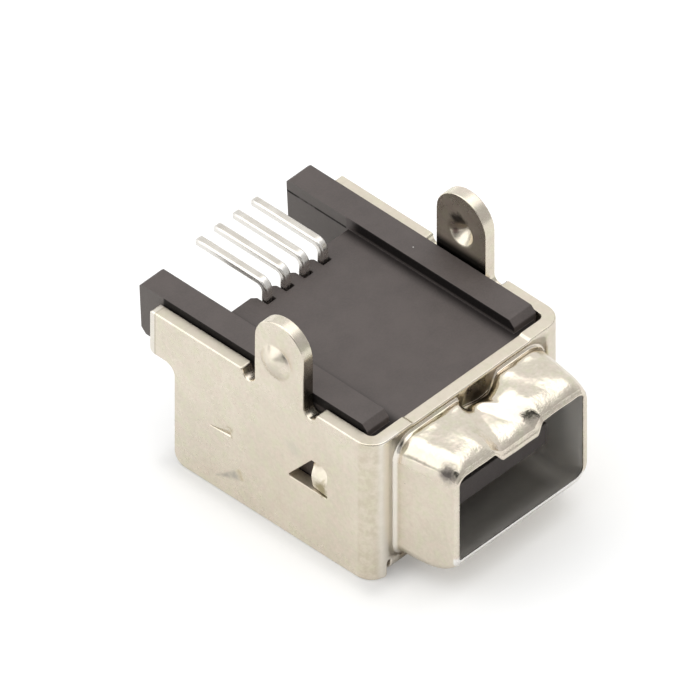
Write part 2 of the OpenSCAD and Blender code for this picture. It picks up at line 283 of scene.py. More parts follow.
# Tones of the nickel, laid over the first: noise scale, detail and roughness, the noise where the tone
# starts and where it is full, its strength and its colour
NICKEL = (0.75, 0.686, 0.572)
NICKEL_TONES = (
    (0.7, 4.0, 0.6, 0.35, 0.65, 1.0, (0.815, 0.744, 0.628)),
    (1.3, 5.0, 0.65, 0.56, 0.72, 0.7, (0.68, 0.615, 0.475)),
    (2.6, 2.0, 0.5, 0.5, 0.68, 0.9, (0.795, 0.705, 0.605)),
    (2.6, 2.0, 0.5, 0.5, 0.32, 0.9, (0.765, 0.725, 0.575)),
    (7.0, 3.0, 0.7, 0.5, 0.7, 0.5, (0.70, 0.64, 0.52)),
    (7.0, 3.0, 0.7, 0.5, 0.3, 0.5, (0.85, 0.78, 0.67)),
)

# Stains and painted shade of the sheet: middle, inner and outer radius, strength, colour
STAINS_AND_PAINTED_SHADE = (
    # Painted shade in the pocket at the root of the key's valley
    ((0.42, -0.1, 4.65), 0.16, 0.5, 0.8, (0.15, 0.115, 0.085)),
    # Painted dark reflection on the front left corner of the nose's top
    ((-2.75, -1.78, 4.72), 0.08, 0.42, 0.85, (0.10, 0.085, 0.085)),
    # Painted shadow on the wall under the nose's left root
    ((-2.95, -0.02, 0.30), 0.15, 0.75, 0.7, (0.33, 0.27, 0.20)),
    # Dark spot where the nose's left shoulder meets the wall
    ((-3.0, 0.02, 4.95), 0.05, 0.3, 0.7, (0.16, 0.13, 0.10)),
    # Painted shade on the nose's lower left corner, near the root
    ((-2.92, -0.32, 0.62), 0.08, 0.46, 0.6, (0.36, 0.30, 0.22)),
    # Painted shade over the top of the hollow inside the right ear, and inside that hollow
    ((3.73, 3.9, 7.0), 0.16, 0.46, 0.9, (0.03, 0.027, 0.022)),
    ((3.83, 4.15, 6.42), 0.04, 0.16, 0.9, (0.14, 0.09, 0.08)),
    # Painted shade along the walls of the left barb
    ((-4.05, BARB_Y + 0.04, WINDOW_Z + 0.34), 0.05, 0.22, 0.8, (0.40, 0.32, 0.17)),
    ((-4.05, BARB_Y, WINDOW_Z + 0.12), 0.03, 0.16, 0.7, (0.45, 0.37, 0.20)),
    # Painted shade on the lower part of the window's flap, in the opening
    ((-3.86, WINDOW_Y + 0.28, WINDOW_Z + 0.2), 0.22, 0.42, 0.9, (0.34, 0.29, 0.16)),
    # Faint grey streak on the left-hand plate
    ((-4.15, 3.25, 3.53), 0.05, 0.45, 0.28, (0.58, 0.56, 0.51)),
    # Painted shade on the lower half of the left ear's bump
    ((-4.3, EAR_Y + 0.02, SHELL_H + CONE_RISE - 0.22), 0.18, 0.44, 0.35, (0.52, 0.48, 0.40)),
)

# The scuff low on the left-hand plate, from its tip to its broad end (y, z)
SCUFF_TIP = (6.46, 0.49)
SCUFF_END = (5.3, 1.16)
SCUFF_HALF = 0.2
SCUFF_SOFT = 0.14
SCUFF_RAGGED = 0.12
SCUFF_ROUGH = 0.25
SCUFF_TIP_FADE = (0.0, 0.08)
SCUFF_END_FADE = (1.02, 0.9)
SCUFF_STRENGTH = (0.35, 0.65, 0.4, 0.95)
SCUFF_BROWN_FROM = (0.75, 0.95)
SCUFF_GREY = (0.54, 0.51, 0.445)
SCUFF_BROWN = (0.60, 0.52, 0.33)

# Painted shade, painted light and wear on the sheet: strength, colour, and limits that all have to hold
# A limit names a value, says where the place starts and where it is full, and may give the share at each
PAINTED_SHADE_BLACK = (0.004, 0.004, 0.003)
SHEET_SHADE_LIGHT_AND_WEAR = (
    # Inner faces beside the rails, in their shade
    (0.95, PAINTED_SHADE_BLACK, ("reach", INNER_X - 0.03, INNER_X - 0.01), ("reach", INNER_X + 0.03, INNER_X + 0.01),
     ("z", SHELL_H + 0.75, SHELL_H + 0.4), ("y", 2.0, 2.1), ("face_z", 0.3, 0.1)),
    # Painted shade on the front edge of the left ear, low down
    (0.95, PAINTED_SHADE_BLACK, ("y", EAR_FRONT - 0.03, EAR_FRONT - 0.01), ("y", EAR_FRONT + 0.03, EAR_FRONT + 0.01),
     ("z", SHELL_H + 1.6, SHELL_H + 0.9, 0.0, 0.75), ("x", 0.0, -1.0), ("face_y", -0.5, -0.8)),
    # Wear on the front left corner
    (1.0, (0.62, 0.55, 0.42), ("y", 0.66, 0.54), ("x", -3.5, -3.7), ("ragged", 0.35, 0.65, 0.1, 0.6)),
    # Painted light: a bright strip of the front wall, left of the nose
    (0.6, (0.96, 0.92, 0.85), ("x", -2.9, -3.1), ("x", -3.9, -3.7),
     ("y", 0.3, 0.05), ("y", -0.12, -0.06)),
    # Painted highlight on the end of the left tab, and a painted dark band before it
    (0.6, (0.88, 0.85, 0.80), ("y", TAB_END - 0.22, TAB_END - 0.18), ("x", 0.0, -1.0)),
    (0.45, (0.40, 0.36, 0.28), ("x", -INNER_X, -INNER_X - 0.01),
     ("y", TAB_END - 0.27, TAB_END - 0.24), ("y", TAB_END - 0.19, TAB_END - 0.22)),
)

# The top edge of the sheet, which is duller, and the painted highlight on the lower rim of the mouth
TOP_EDGE = (
    ("face_z", 0.9, 0.97), ("z", SHELL_H - 0.1, SHELL_H - 0.05), ("z", SHELL_H + 0.1, SHELL_H + 0.05),
)
TOP_EDGE_COLOUR = (0.50, 0.46, 0.38)
TOP_EDGE_SHARE = 0.35
TOP_EDGE_ROUGH = 0.2
LIP_HIGHLIGHT = (
    ("y", 0.14 - NOSE_LEN, 0.07 - NOSE_LEN), ("z", MOUTH_Z + 0.15, MOUTH_Z + 0.02), ("finish", 0.5, 0.4),
)
LIP_HIGHLIGHT_COLOUR = (0.96, 0.94, 0.91)

# The mouth's lining: the roughness that it starts and is full at, and its colours: painted shade deep
# inside, painted light on the right and in front
LINING_FROM = (0.62, 0.7)
LINING_PAINTED_SHADE = (0.54, 0.52, 0.485)
LINING_LIGHT_RIGHT = (0.94, 0.92, 0.88)
LINING_RIGHT_X = (1.9, 2.6)
LINING_LIGHT_FRONT = (0.97, 0.945, 0.90)
LINING_FRONT_Y = (-1.0, -1.95)

# Specks: cells per millimetre, radius as a share of a cell, share of the cells
NICKEL_SPECKS = (2.2, 0.05, 0.16)
SPECK_SHARE = 0.6
SPECK_COLOUR = (0.2, 0.17, 0.13)
DUST = (1.3, 0.036, 0.3)
DUST_COLOUR = (0.62, 0.6, 0.57)

# Patterns: noise per millimetre, detail and roughness, and the stretch of the lines on the contacts
RAGGED_NOISE = (4.0, 4.0, 0.65)
SCUFF_NOISE = (5.0, 3.0)
PATCH_NOISE = (2.5, 3.0)
SHEET_NOISE = (9.0, 3.0, 0.6)
WAVE_NOISE = (2.0, 2.0)
PEEL_NOISE = (9.0, 3.0, 0.7)
CLOUD_NOISE = (1.1, 4.0, 0.6)
PLASTIC_NOISE = (14.0, 2.0, 0.7)
LINE_NOISE = (8.0, 3.0, 0.6)
LINE_STRETCH = (1.0, 0.12, 1.0)
TIN_NOISE = (1.6, 3.0)

# Where a pattern or a place starts and is full, and what it gives there
NOISE_SPAN = (0.3, 0.7)
PATCH_ROUGH = (*NOISE_SPAN, -0.04, 0.05)
PLASTIC_GRAIN_SHARE = (0.35, 0.7, 0.0, 0.35)
PLASTIC_ROUGH = (*NOISE_SPAN, 0.5, 0.66)
PLASTIC_GLOSS = (0.0, 1.0, 0.5, 0.12)
TIN_ROUGH = (*NOISE_SPAN, 0.24, 0.32)
TIN_SPAN = (0.35, 0.65)
TIN_FLAT = (0.93, 0.985)
DRAWN_TOP = (("z", DRAWN_Z, DRAWN_Z + DRAWN_SOFT), ("y", -0.1, -0.3))
PEEL_Y = (-1.35, -1.65)

# Heights of the fine relief
SHEET_GRAIN_H = 0.0003 * MM
WAVE_H = 0.022 * MM
PEEL_H = 0.009 * MM
PLASTIC_GRAIN_H = 0.006 * MM
LINE_H = 0.0008 * MM

# Limits on the plastic for its painted shade, painted light and dark line: sides of the rails, of the
# arms by the plates, the panel beside the rails, the line along the arms
RAIL_HIGH = ("z", RAIL_FOOT_Z, RAIL_FOOT_Z + 0.3)
RAIL_SIDE = (RAIL_HIGH, ("y", ARM_Y, ARM_Y - 0.5))
PLATE_SIDE = (RAIL_HIGH, ("y", TAB_END - 0.07, TAB_END - 0.17), ("reach", INNER_X - 0.2, INNER_X - 0.1))
# Painted shadow on the panel beside the rails
RAIL_SHADOW_ON_PANEL = (
    ("reach", RAIL_X - 0.5, RAIL_X, 0.0, 0.85), ("face_z", 0.8, 0.95),
    ("z", PANEL_Z + 0.1, PANEL_Z + 0.05),
)
ARM_LINE = (
    ("z", PANEL_Z - 0.05, PANEL_Z - 0.025), ("z", PANEL_Z + 0.05, PANEL_Z + 0.025),
    ("reach", RAIL_X + 0.2, RAIL_X + 0.1),
)
ARM_LINE_SHARE = (0.1, 0.6, 0.4, 1.0)
SIDEWAYS = (0.5, 0.8)
ARM_FROM = (ARM_Y, ARM_Y + 0.1)
# Painted shade on the tongue, deep in the mouth
TONGUE_FROM = (0.5, 0.3, 0.0, 0.4)
FOOT_FROM = (PANEL_Z + 0.12, PANEL_Z + 0.06)

# Colours of the plastic and of the contacts, and the shares of some
PLASTIC_DARK = (0.076, 0.062, 0.057)
PLASTIC_PALE = (0.092, 0.075, 0.069)
PLASTIC_GRAIN = (0.13, 0.108, 0.102)
# Painted light on the sides of the arms
ARM_SIDE_LIGHT = (0.155, 0.14, 0.128)
ARM_SHARE = 0.6
# Painted shade where the plastic is shut in
PLASTIC_PAINTED_SHADE = (0.004, 0.0035, 0.0035)
PAINTED_SHADE_SHARE = 0.9
# Painted light on the foot of the shaded sides
RAIL_FOOT_LIGHT = (0.10, 0.085, 0.08)
FOOT_SHARE = 0.6
TIN_DARK = (0.84, 0.81, 0.76)
TIN_PALE = (0.9, 0.88, 0.84)
# Painted shade on the contacts' upward faces
TIN_TOP_SHADE_DARK = (0.68, 0.64, 0.575)
TIN_TOP_SHADE_PALE = (0.77, 0.735, 0.675)

# The camera
CAMERA_TURN = math.radians(-46.586)
CAMERA_RISE = math.radians(42.02)
VIEW_WIDTH = 20.774 * MM
VIEW_CENTRE = Vector((0.068, 1.004, 3.655)) * MM
CAMERA_AWAY = 0.2
CLIP_START = 0.001
CLIP_END = 2.0
TO_CAMERA = Vector((
    math.sin(CAMERA_TURN) * math.cos(CAMERA_RISE),
    -math.cos(CAMERA_TURN) * math.cos(CAMERA_RISE),
    math.sin(CAMERA_RISE),
))

# The floor: its own glow where it is seen and where it is mirrored, more of it far at the back left
FLOOR_HALF = 0.4
FLOOR_COLOUR = (0.82, 0.82, 0.815)
FLOOR_GLOW_SEEN = 0.25
FLOOR_GLOW_MIRRORED = 0.08
BACK_LEFT = Vector((-0.5, 0.87, 0))
SWEEP_NEAR = 0.02
SWEEP_FAR = 0.06
SWEEP_GLOW = 0.6
# Painted contact shadow on the floor where the camera sees it: its strength and its reach
CONTACT_SHADE = 0.19
CONTACT_SHADE_W = 1.1 * MM

# The studio: direction of each light and of the dark lens, the angles where it is full and where it ends
BACKDROP = ((0.6, 0.6, 0.55), 30, 75)
FRONT = ((0.5, -0.75, 0.4), 15, 45)
OVERHEAD = ((0, 0, 1), 30, 42)
BACK_BOX = ((-0.66, 0.5, 0.56), 24, 36)
LENS = (TO_CAMERA, 10, 19)
ROOM_LEVEL = 0.5
BACKDROP_LEVEL = 0.9
FRONT_LEVEL = 0.55
SOFTBOX_LEVEL = 1.05
LENS_DARK = 0.93


def along(y):
    """Distance on the flat blank from the middle of the front wall to a place y on a side plate."""
    return FLAT_X + BEND_LEN + y - CORNER_R


def below(y):
    """Height on the flat blank of a place y on the roof."""
    return FOLD_R - FOLD_LEN - (y - FOLD_R)


def smooth(t):
    """Smooth step from 0 to 1."""
    t = np.clip(t, 0.0, 1.0)
    return t * t * (3 - 2 * t)


def mix(a, b, t):
    """From a at t = 0 to b at t = 1."""
    return a + (b - a) * t


def quarter_turn(steps):
    """Sine and cosine at each step of a quarter turn, from 0 on."""
    return [(math.sin(a), math.cos(a)) for a in np.linspace(0, QUARTER, steps + 1)]


# Outlines with rounded corners

def rounded_outline(corners, step=OUTLINE_STEP, arc_step=ARC_STEP):
    """Points and unit tangents of a closed outline through corners (x, y, radius)."""
    spots = np.array([corner[:2] for corner in corners], float)
    ends = []
    for i, here in enumerate(spots):
        r = corners[i][2]
        into = here - spots[i - 1]
        out = spots[(i + 1) % len(spots)] - here
        into = into / np.linalg.norm(into)
        out = out / np.linalg.norm(out)
        turn = math.atan2(into[0] * out[1] - into[1] * out[0], into @ out)
        reach = r * math.tan(abs(turn) / 2)
        ends.append((here - into * reach, here + out * reach, into, out, turn, r))
    points, tangents = [], []
    last_stop = ends[-1][1]
    for start, stop, into, out, turn, r in ends:
        length = np.linalg.norm(start - last_stop)
        if length > TINY:
            pieces = max(1, math.ceil(length / step))
            for k in range(1, pieces):
                points.append(mix(last_stop, start, k / pieces))
                tangents.append(into)
        last_stop = stop
        if r < TINY:
            points.append(start)
            tangents.append((into + out) / np.linalg.norm(into + out))
            continue
        pieces = max(2, math.ceil(abs(math.degrees(turn)) / arc_step))
        centre = start + math.copysign(r, turn) * np.array([-into[1], into[0]])
        for k in range(pieces + 1):
            angle = turn * k / pieces
            spin = np.array([[math.cos(angle), -math.sin(angle)], [math.sin(angle), math.cos(angle)]])
            points.append(centre + spin @ (start - centre))
            tangents.append(spin @ into)
    return np.array(points), np.array(tangents)


def left_of(tangents):
    """Unit vectors to the left of unit tangents."""
    return np.stack([-tangents[:, 1], tangents[:, 0]], 1)


def mirrored(corners):
    """The same corners on the other side of x = 0, in the order that keeps the outline's sense."""
    return [(-x, y, r) for x, y, r in reversed(corners)]


def on_side(corners, side):
    """Corners of the right-hand side, as they are or mirrored."""
    return corners if side > 0 else mirrored(corners)


def inside(points, loops):
    """Which points lie inside an odd number of loops."""
    odd = np.zeros(len(points), bool)
    for loop in loops:
        for (px, py), (qx, qy) in zip(loop, np.roll(loop, -1, 0)):
            if py == qy:
                continue
            crosses = (py > points[:, 1]) != (qy > points[:, 1])
            at = (qx - px) * (points[:, 1] - py) / (qy - py) + px
            odd ^= crosses & (points[:, 0] < at)
    return odd


def clear_of(points, loops, distance):
    """Which points keep that distance from the points of every loop."""
    keep = np.ones(len(points), bool)
    for spot in np.concatenate(loops):
        keep &= ((points - spot) ** 2).sum(1) > distance * distance
    return keep


def fill(loops, extra=None):
    """Points and triangles of the area between loops, with extra points inside it."""
    spots = np.concatenate(loops)
    if extra is not None:
        extra = extra[inside(extra, loops) & clear_of(extra, loops, FILL_CLEAR)]
        spots = np.concatenate([spots, extra])
    edges = []
    first = 0
    for loop in loops:
        size = len(loop)
        edges += [(first + k, first + (k + 1) % size) for k in range(size)]
        first += size
    _, _, faces, origins, _, _ = delaunay_2d_cdt([Vector(p) for p in spots], edges, [], 0, SNAP)
    order = [ids[0] for ids in origins]
    triangles = np.array([[order[k] for k in face] for face in faces])
    middle = spots[triangles].mean(1)
    return spots, triangles[inside(middle, loops)]


class Skin:
    """Collects patches of points, normals and faces, and makes one mesh of them."""

    def __init__(self):
        self.points, self.normals, self.faces, self.finishes = [], [], [], []
        self.count = 0

    def add(self, points, normals, faces, finish=FACE_FINISH):
        """One patch, whose faces count its own points from 0."""
        points = np.asarray(points, float).reshape(-1, 3)
        normals = np.asarray(normals, float).reshape(-1, 3)
        self.faces += [tuple(int(k) + self.count for k in face) for face in faces]
        self.points.append(points)
        self.normals.append(normals / np.linalg.norm(normals, axis=1, keepdims=True))
        self.finishes.append(np.broadcast_to(np.asarray(finish, float).ravel(), (len(points),)))
        self.count += len(points)

    def rings(self, points, normals, finish=FACE_FINISH):
        """A patch of closed rings of points, with a face between each two rings and each two columns."""
        points = np.asarray(points)
        count, columns = points.shape[:2]
        faces = []
        for low in range(0, (count - 1) * columns, columns):
            high = low + columns
            for j in range(columns):
                k = (j + 1) % columns
                faces.append((low + j, high + j, high + k, low + k))
        self.add(points, normals, faces, finish)

    def make(self, name):
        """One smooth piece of all patches, joined where their points meet."""
        points = np.concatenate(self.points)
        normals = np.concatenate(self.normals)
        finishes = np.concatenate(self.finishes)
        keys = np.round(points / WELD).astype(np.int64)
        _, first, order = np.unique(keys, axis=0, return_index=True, return_inverse=True)
        order = order.ravel()
        summed = np.zeros((len(first), 3))
        np.add.at(summed, order, normals)
        length = np.linalg.norm(summed, axis=1, keepdims=True)
        summed = np.where(length > NO_LENGTH, summed / np.maximum(length, NO_LENGTH), normals[first])
        faces = []
        for face in self.faces:
            ring = [int(order[k]) for k in face]
            ring = [k for i, k in enumerate(ring) if k != ring[i - 1]]
            if len(set(ring)) >= 3:
                faces.append(ring)
        mesh = bpy.data.meshes.new(name)
        placed = (points[first] + np.array([0.0, WALL_Y, 0.0])) * MM
        mesh.from_pydata(placed.tolist(), [], faces)
        mesh.polygons.foreach_set("use_smooth", [True] * len(mesh.polygons))
        mesh.normals_split_custom_set_from_vertices(summed.tolist())
        finish = mesh.attributes.new("finish", "FLOAT", "POINT")
        finish.data.foreach_set("value", finishes[first].astype(np.float32))
        mesh.update()
        return linked(name, mesh)


def linked(name, data):
    """A new object in the scene."""
    made = bpy.data.objects.new(name, data)
    bpy.context.scene.collection.objects.link(made)
    return made


# The sheet: a flat blank, cut out and then bent round the front corners and under the roof

def on_roof(u, v):
    """Which flat points bend under with the roof: its limit runs through the slots beside the fold."""
    return (v < -UNDER_PLATE) | ((np.abs(u) < FOLD_X + IN_SLOT) & (v < FOLD_R))


def bent(flat, depth):
    """Place of flat points (u, v) at a depth in the sheet, with its two tangents and its normal."""
    u, v = flat[:, 0], flat[:, 1]
    depth = np.broadcast_to(depth, u.shape)
    side = np.where(u < 0, -1.0, 1.0)
    reach = np.abs(u) - FLAT_X
    turn = np.clip(reach / CORNER_R, 0, QUARTER)
    past = np.maximum(reach - BEND_LEN, 0)
    across = np.minimum(np.abs(u), FLAT_X)
    zero = np.zeros_like(u)
    lean = np.clip((FOLD_R - v) / FOLD_R, 0, QUARTER)
    run = np.maximum(FOLD_R - FOLD_LEN - v, 0)
    round_corner = (
        (side * (across + CORNER_R * np.sin(turn)), CORNER_R * (1 - np.cos(turn)) + past, v),
        (np.cos(turn), side * np.sin(turn), zero),
        (zero, zero, zero + 1),
        (side * np.sin(turn), -np.cos(turn), zero),
    )
    under_roof = (
        (u, FOLD_R * (1 - np.cos(lean)) + run, FOLD_R * (1 - np.sin(lean))),
        (zero + 1, zero, zero),
        (zero, -np.sin(lean), np.cos(lean)),
        (zero, -np.cos(lean), -np.sin(lean)),
    )
    roof = on_roof(u, v)[:, None]
    both = zip(under_roof, round_corner)
    place, wide, tall, normal = [np.where(roof, np.stack(a, 1), np.stack(b, 1)) for a, b in both]
    return place - depth[:, None] * normal, wide, tall, normal


def edge_profile(roll):
    """Points (inset, depth) and normals (out, face) across a cut edge, from the outside to the inside."""
    rolled = [(roll * (1 - s), roll * (1 - c), s, c) for s, c in quarter_turn(ROLL_STEPS)]
    burr = [(BURR_R * (1 - c), SHEET_T - BURR_R * (1 - s), c, -s) for s, c in quarter_turn(BURR_STEPS)]
    return rolled + burr


def cut_edge(skin, corners, mapping, roll=ROLL_R, finish=EDGE_FINISH):
    """Rounded edge of the sheet along an outline that has the material on its left.

    Returns the loops where the outer and the inner face begin.
    """
    points, tangents = rounded_outline(corners)
    inward = left_of(tangents)
    rows, normals = [], []
    for inset, depth, out, face in edge_profile(roll):
        place, wide, tall, normal = mapping(points + inset * inward, depth)
        away = -(inward[:, :1] * wide + inward[:, 1:] * tall)
        rows.append(place)
        normals.append(out * away + face * normal)
    skin.rings(rows, normals, finish)
    return points + roll * inward, points + BURR_R * inward


def sheet_faces(skin, outer_loops, inner_loops, extra, mapping):
    """The two faces of a sheet between its loops."""
    for loops, depth, flip in ((outer_loops, 0.0, False), (inner_loops, SHEET_T, True)):
        spots, triangles = fill(loops, extra)
        place, _, _, normal = mapping(spots, depth)
        if flip:
            triangles = triangles[:, ::-1]
            normal = -normal
        skin.add(place, normal, triangles)


def blank_corners(tick_x):
    """Right-hand half of the flat blank's outline, from the roof's end to the top of the front wall.

    The top steps down at tick_x.
    """
    notch_z = SHELL_H - NOTCH_D
    notch_r = NOTCH_W / 2 - HAIR
    slot_r = SLOT_W / 2 - HAIR
    ear_r = EAR_W / 2 - HAIR
    tab_z = SHELL_H - TAB_H
    roof = [
        (ROOF_X, below(ROOF_LEN), PLATE_CORNER_R),
        (ROOF_X, below(CORNER_R), MIN_CORNER_R),
        (FOLD_X, below(CORNER_R), MIN_CORNER_R),
        (FOLD_X, SLOT_H, slot_r),
        (FLAT_X, SLOT_H, slot_r),
        (FLAT_X, 0, MIN_CORNER_R),
    ]
    plate = [
        (PLATE_LEN, 0, PLATE_CORNER_R),
        (PLATE_LEN, tab_z, TAB_FILLET_R),
        (TAB_END, tab_z, TAB_CORNER_R),
        (TAB_END, SHELL_H, MIN_CORNER_R),
        (EAR_BACK + NOTCH_W, SHELL_H, MIN_CORNER_R),
        (EAR_BACK + NOTCH_W, notch_z, notch_r),
        (EAR_BACK, notch_z, notch_r),
        (EAR_BACK, EAR_Z, ear_r),
        (EAR_FRONT, EAR_Z, ear_r),
        (EAR_FRONT, notch_z, notch_r),
        (EAR_FRONT - NOTCH_W, notch_z, notch_r),
        (EAR_FRONT - NOTCH_W, SHELL_H, MIN_CORNER_R),
    ]
    top = [(tick_x, SHELL_H, TICK_R), (tick_x - TICK_RUN, SHELL_H - TICK_H, TICK_R)]
    return roof + [(along(y), z, r) for y, z, r in plate] + top


def window_corners(side):
    """Window of a side plate, with the sheet on its left."""
    front = along(WINDOW_Y)
    return on_side([
        (front, WINDOW_Z, MIN_CORNER_R / 2),
        (front, WINDOW_Z + WINDOW_H, WINDOW_CORNER_R),
        (front + WINDOW_TOP_LEN, WINDOW_Z + WINDOW_H, MIN_CORNER_R / 2),
        (front + WINDOW_LEN, WINDOW_Z, MIN_CORNER_R / 2),
    ], side)


def circle(centre, radius):
    """A round hole, with the sheet on its left."""
    angle = -CIRCLE_TURNS
    return np.stack([centre[0] + radius * np.cos(angle), centre[1] + radius * np.sin(angle)], 1)


def bend_points():
    """Points inside the blank where it bends, close enough together to look round."""
    spots = []
    for side in (-1, 1):
        for k in range(BEND_STEPS + 1):
            u = side * (FLAT_X + BEND_LEN * k / BEND_STEPS)
            spots += [(u, v) for v in np.arange(BEND_MARGIN, SHELL_H, BEND_SPACING)]
    for k in range(FOLD_STEPS + 1):
        v = FOLD_R - FOLD_LEN * k / FOLD_STEPS
        spots += [(u, v) for u in np.arange(-FOLD_X + FOLD_MARGIN, FOLD_X, BEND_SPACING)]
    return np.array(spots)


# The nose: rings of points from the wall to the mouth

def station(values, s):
    """A smooth curve through the values at the stations, at a distance s from the wall."""
    places = np.array(STATIONS)
    values = np.array(values)
    slopes = np.gradient(values, places)
    i = int(np.clip(np.searchsorted(places, s, "right") - 1, 0, len(places) - 2))
    width = places[i + 1] - places[i]
    t = (s - places[i]) / width
    rise = values[i + 1] - values[i]
    start = slopes[i] * width - rise
    stop = rise - slopes[i + 1] * width
    return values[i] + rise * t + t * (1 - t) * (start * (1 - t) + stop * t)


def valley(x, s, share):
    """Depth of the key's valley: share is 0 on the inside of the sheet and 1 on the outside."""
    left_crest, left_foot = station(LEFT_CREST, s), station(LEFT_FOOT, s)
    right_foot, right_crest = station(RIGHT_FOOT, s), station(RIGHT_CREST, s)
    left = smooth((x - left_crest) / (left_foot - left_crest))
    right = smooth((right_crest - x) / (right_crest - right_foot))
    at_lip = smooth((s - VALLEY_LIP_START) / (NOSE_LEN - VALLEY_LIP_START))
    depth = station(VALLEY_DEPTH, s) + VALLEY_LIP * (1 - share) * at_lip
    return depth * left * right


def press_mark(x, s, at, size, height, turn):
    """A soft oval rise or hollow on the top of the nose."""
    c, d = math.cos(math.radians(turn)), math.sin(math.radians(turn))
    a = (c * (x - at[0]) + d * (s - at[1])) / size[0]
    b = (c * (s - at[1]) - d * (x - at[0])) / size[1]
    return height * np.exp(-(a * a + b * b))


def top_relief(x, s, share):
    """Height of the pressed relief on the top of the nose, over its plain outline."""
    relief = -valley(x, s, share)
    off_wall = smooth(s / RELIEF_START)
    for at, size, height, turn in PRESS_MARKS:
        # Rises start off the wall, and hollows run on into it
        relief = relief + press_mark(x, s, at, size, height, turn) * (off_wall if height > 0 else 1)
    ripple = math.prod(np.sin(a * x + b * s + c) for a, b, c in RIPPLE_WAVES)
    return relief + RIPPLE_H * ripple * off_wall


def top_line(s, share):
    """Height of the top of the nose, which rolls over towards the mouth."""
    roll = np.clip((s - TOP_ROLL_START) / (NOSE_LEN - TOP_ROLL_START), 0, 1) ** TOP_ROLL_POWER
    root = SHELL_H - ROOT_DROP - NOSE_T * (1 - share)
    lip = MOUTH_Z + MOUTH_H + LIP_T * share
    return mix(root, lip, roll)


def half_outline(t, skin, lip_low_r):
    """Right-hand half of the nose's outline, from the middle of the floor to the middle of the top."""
    draw = t ** DRAW_POWER
    half = mix(ROOT_W / 2 - NOSE_T, MOUTH_W / 2, t) + skin
    top = top_line(NOSE_LEN * t, skin / NOSE_T)
    low = mix(ROOT_Z + NOSE_T, MOUTH_Z, draw) - skin
    low_r = mix(ROOT_LOW_R, lip_low_r, smooth(t)) + skin
    high_r = mix(SHOULDER_R, MOUTH_HIGH_R, draw) + skin
    floor_n, low_n, side_n, high_n, top_n = HALF_COUNTS
    turn = np.linspace(0, QUARTER, low_n, endpoint=False)
    lift = np.linspace(0, QUARTER, high_n, endpoint=False)
    stretches = [
        (np.linspace(0, half - low_r, floor_n, endpoint=False), np.full(floor_n, low)),
        (half - low_r + low_r * np.sin(turn), low + low_r - low_r * np.cos(turn)),
        (np.full(side_n, half), np.linspace(low + low_r, top - high_r, side_n, endpoint=False)),
        (half - high_r + high_r * np.cos(lift), top - high_r + high_r * np.sin(lift)),
        (np.linspace(half - high_r, 0, top_n), np.full(top_n, top)),
    ]
    x, z = zip(*stretches)
    return np.concatenate(x), np.concatenate(z)


def nose_outline(t, skin):
    """X and Z of the whole outline at a stretch t along the nose, a distance skin outside its inside."""
    right_x, right_z = half_outline(t, skin, MOUTH_LOW_R)
    left_x, left_z = half_outline(t, skin, MOUTH_LEFT_R)
    x = np.concatenate([right_x, -left_x[-2:0:-1]])
    z = np.concatenate([right_z, left_z[-2:0:-1]])
    near_top = smooth((z - (z.max() - RELIEF_TOP)) / RELIEF_SOFT)
    return x, z + near_top * top_relief(x, NOSE_LEN * t, min(skin / NOSE_T, 1.0))


def nose_ring(t, skin, y):
    """The outline at a stretch t along the nose, as points at y."""
    x, z = nose_outline(t, skin)
    return np.stack([x, np.full_like(x, y), z], 1)


def ring_normals(rows):
    """Normals of points whose rows are closed rings."""
    around = np.roll(rows, -1, 1) - np.roll(rows, 1, 1)
    onward = np.gradient(rows, axis=0)
    normal = np.cross(onward, around)
    return normal / np.maximum(np.linalg.norm(normal, axis=2, keepdims=True), TINY)


def nose_side(skin, steps, wall_y):
    """Rings of one side of the nose, from the round at the wall's face on."""
    rows = []
    for s, c in quarter_turn(ROUND_STEPS)[:-1]:
        rows.append(nose_ring(0.0, skin + ROOT_FILLET * (1 - s), wall_y - ROOT_FILLET * (1 - c)))
    return rows + [nose_ring(t, skin, -NOSE_LEN * t) for t in steps]


def nose_lip():
    """Rings of the rounded lip, from the outside of the nose to the inside."""
    rows = []
    for s, c in quarter_turn(LIP_STEPS)[1:]:
        rows.append(nose_ring(1.0, NOSE_T - LIP_R * (1 - c), LIP_R * (1 - s) - NOSE_LEN))
    for s, c in quarter_turn(ROUND_STEPS)[:-1]:
        back = LIP_INNER_R * (1 - c)
        rows.append(nose_ring(1 - back / NOSE_LEN, LIP_INNER_R * (1 - s), back - NOSE_LEN))
    return rows


def nose(skin):
    """The nose's outside, its lip and its inside, as one run of rings."""
    coarse = np.linspace(0, FINE_FROM, COARSE_RINGS, endpoint=False)
    steps = np.concatenate([coarse, np.linspace(FINE_FROM, 1, FINE_RINGS)])
    inner_steps = steps * (1 - LIP_INNER_R / NOSE_LEN)
    outer_steps = steps * (1 - LIP_R / NOSE_LEN)
    first = ROOT_FILLET / NOSE_LEN
    outer = nose_side(NOSE_T, first + outer_steps * (1 - first / outer_steps[-1]), 0.0)
    lip = nose_lip()
    inner = nose_side(0.0, inner_steps, SHEET_T)
    rows = np.array(outer + lip + inner[::-1])
    drawn = smooth((rows[:, :, 2] - DRAWN_Z) / DRAWN_SOFT)
    finish = mix(FACE_FINISH, NOSE_FINISH, drawn)
    finish[len(outer):] = EDGE_FINISH
    finish[len(outer) + len(lip):] = LINING_FINISH
    skin.rings(rows, ring_normals(rows), finish)


# Pressed details of the side plates

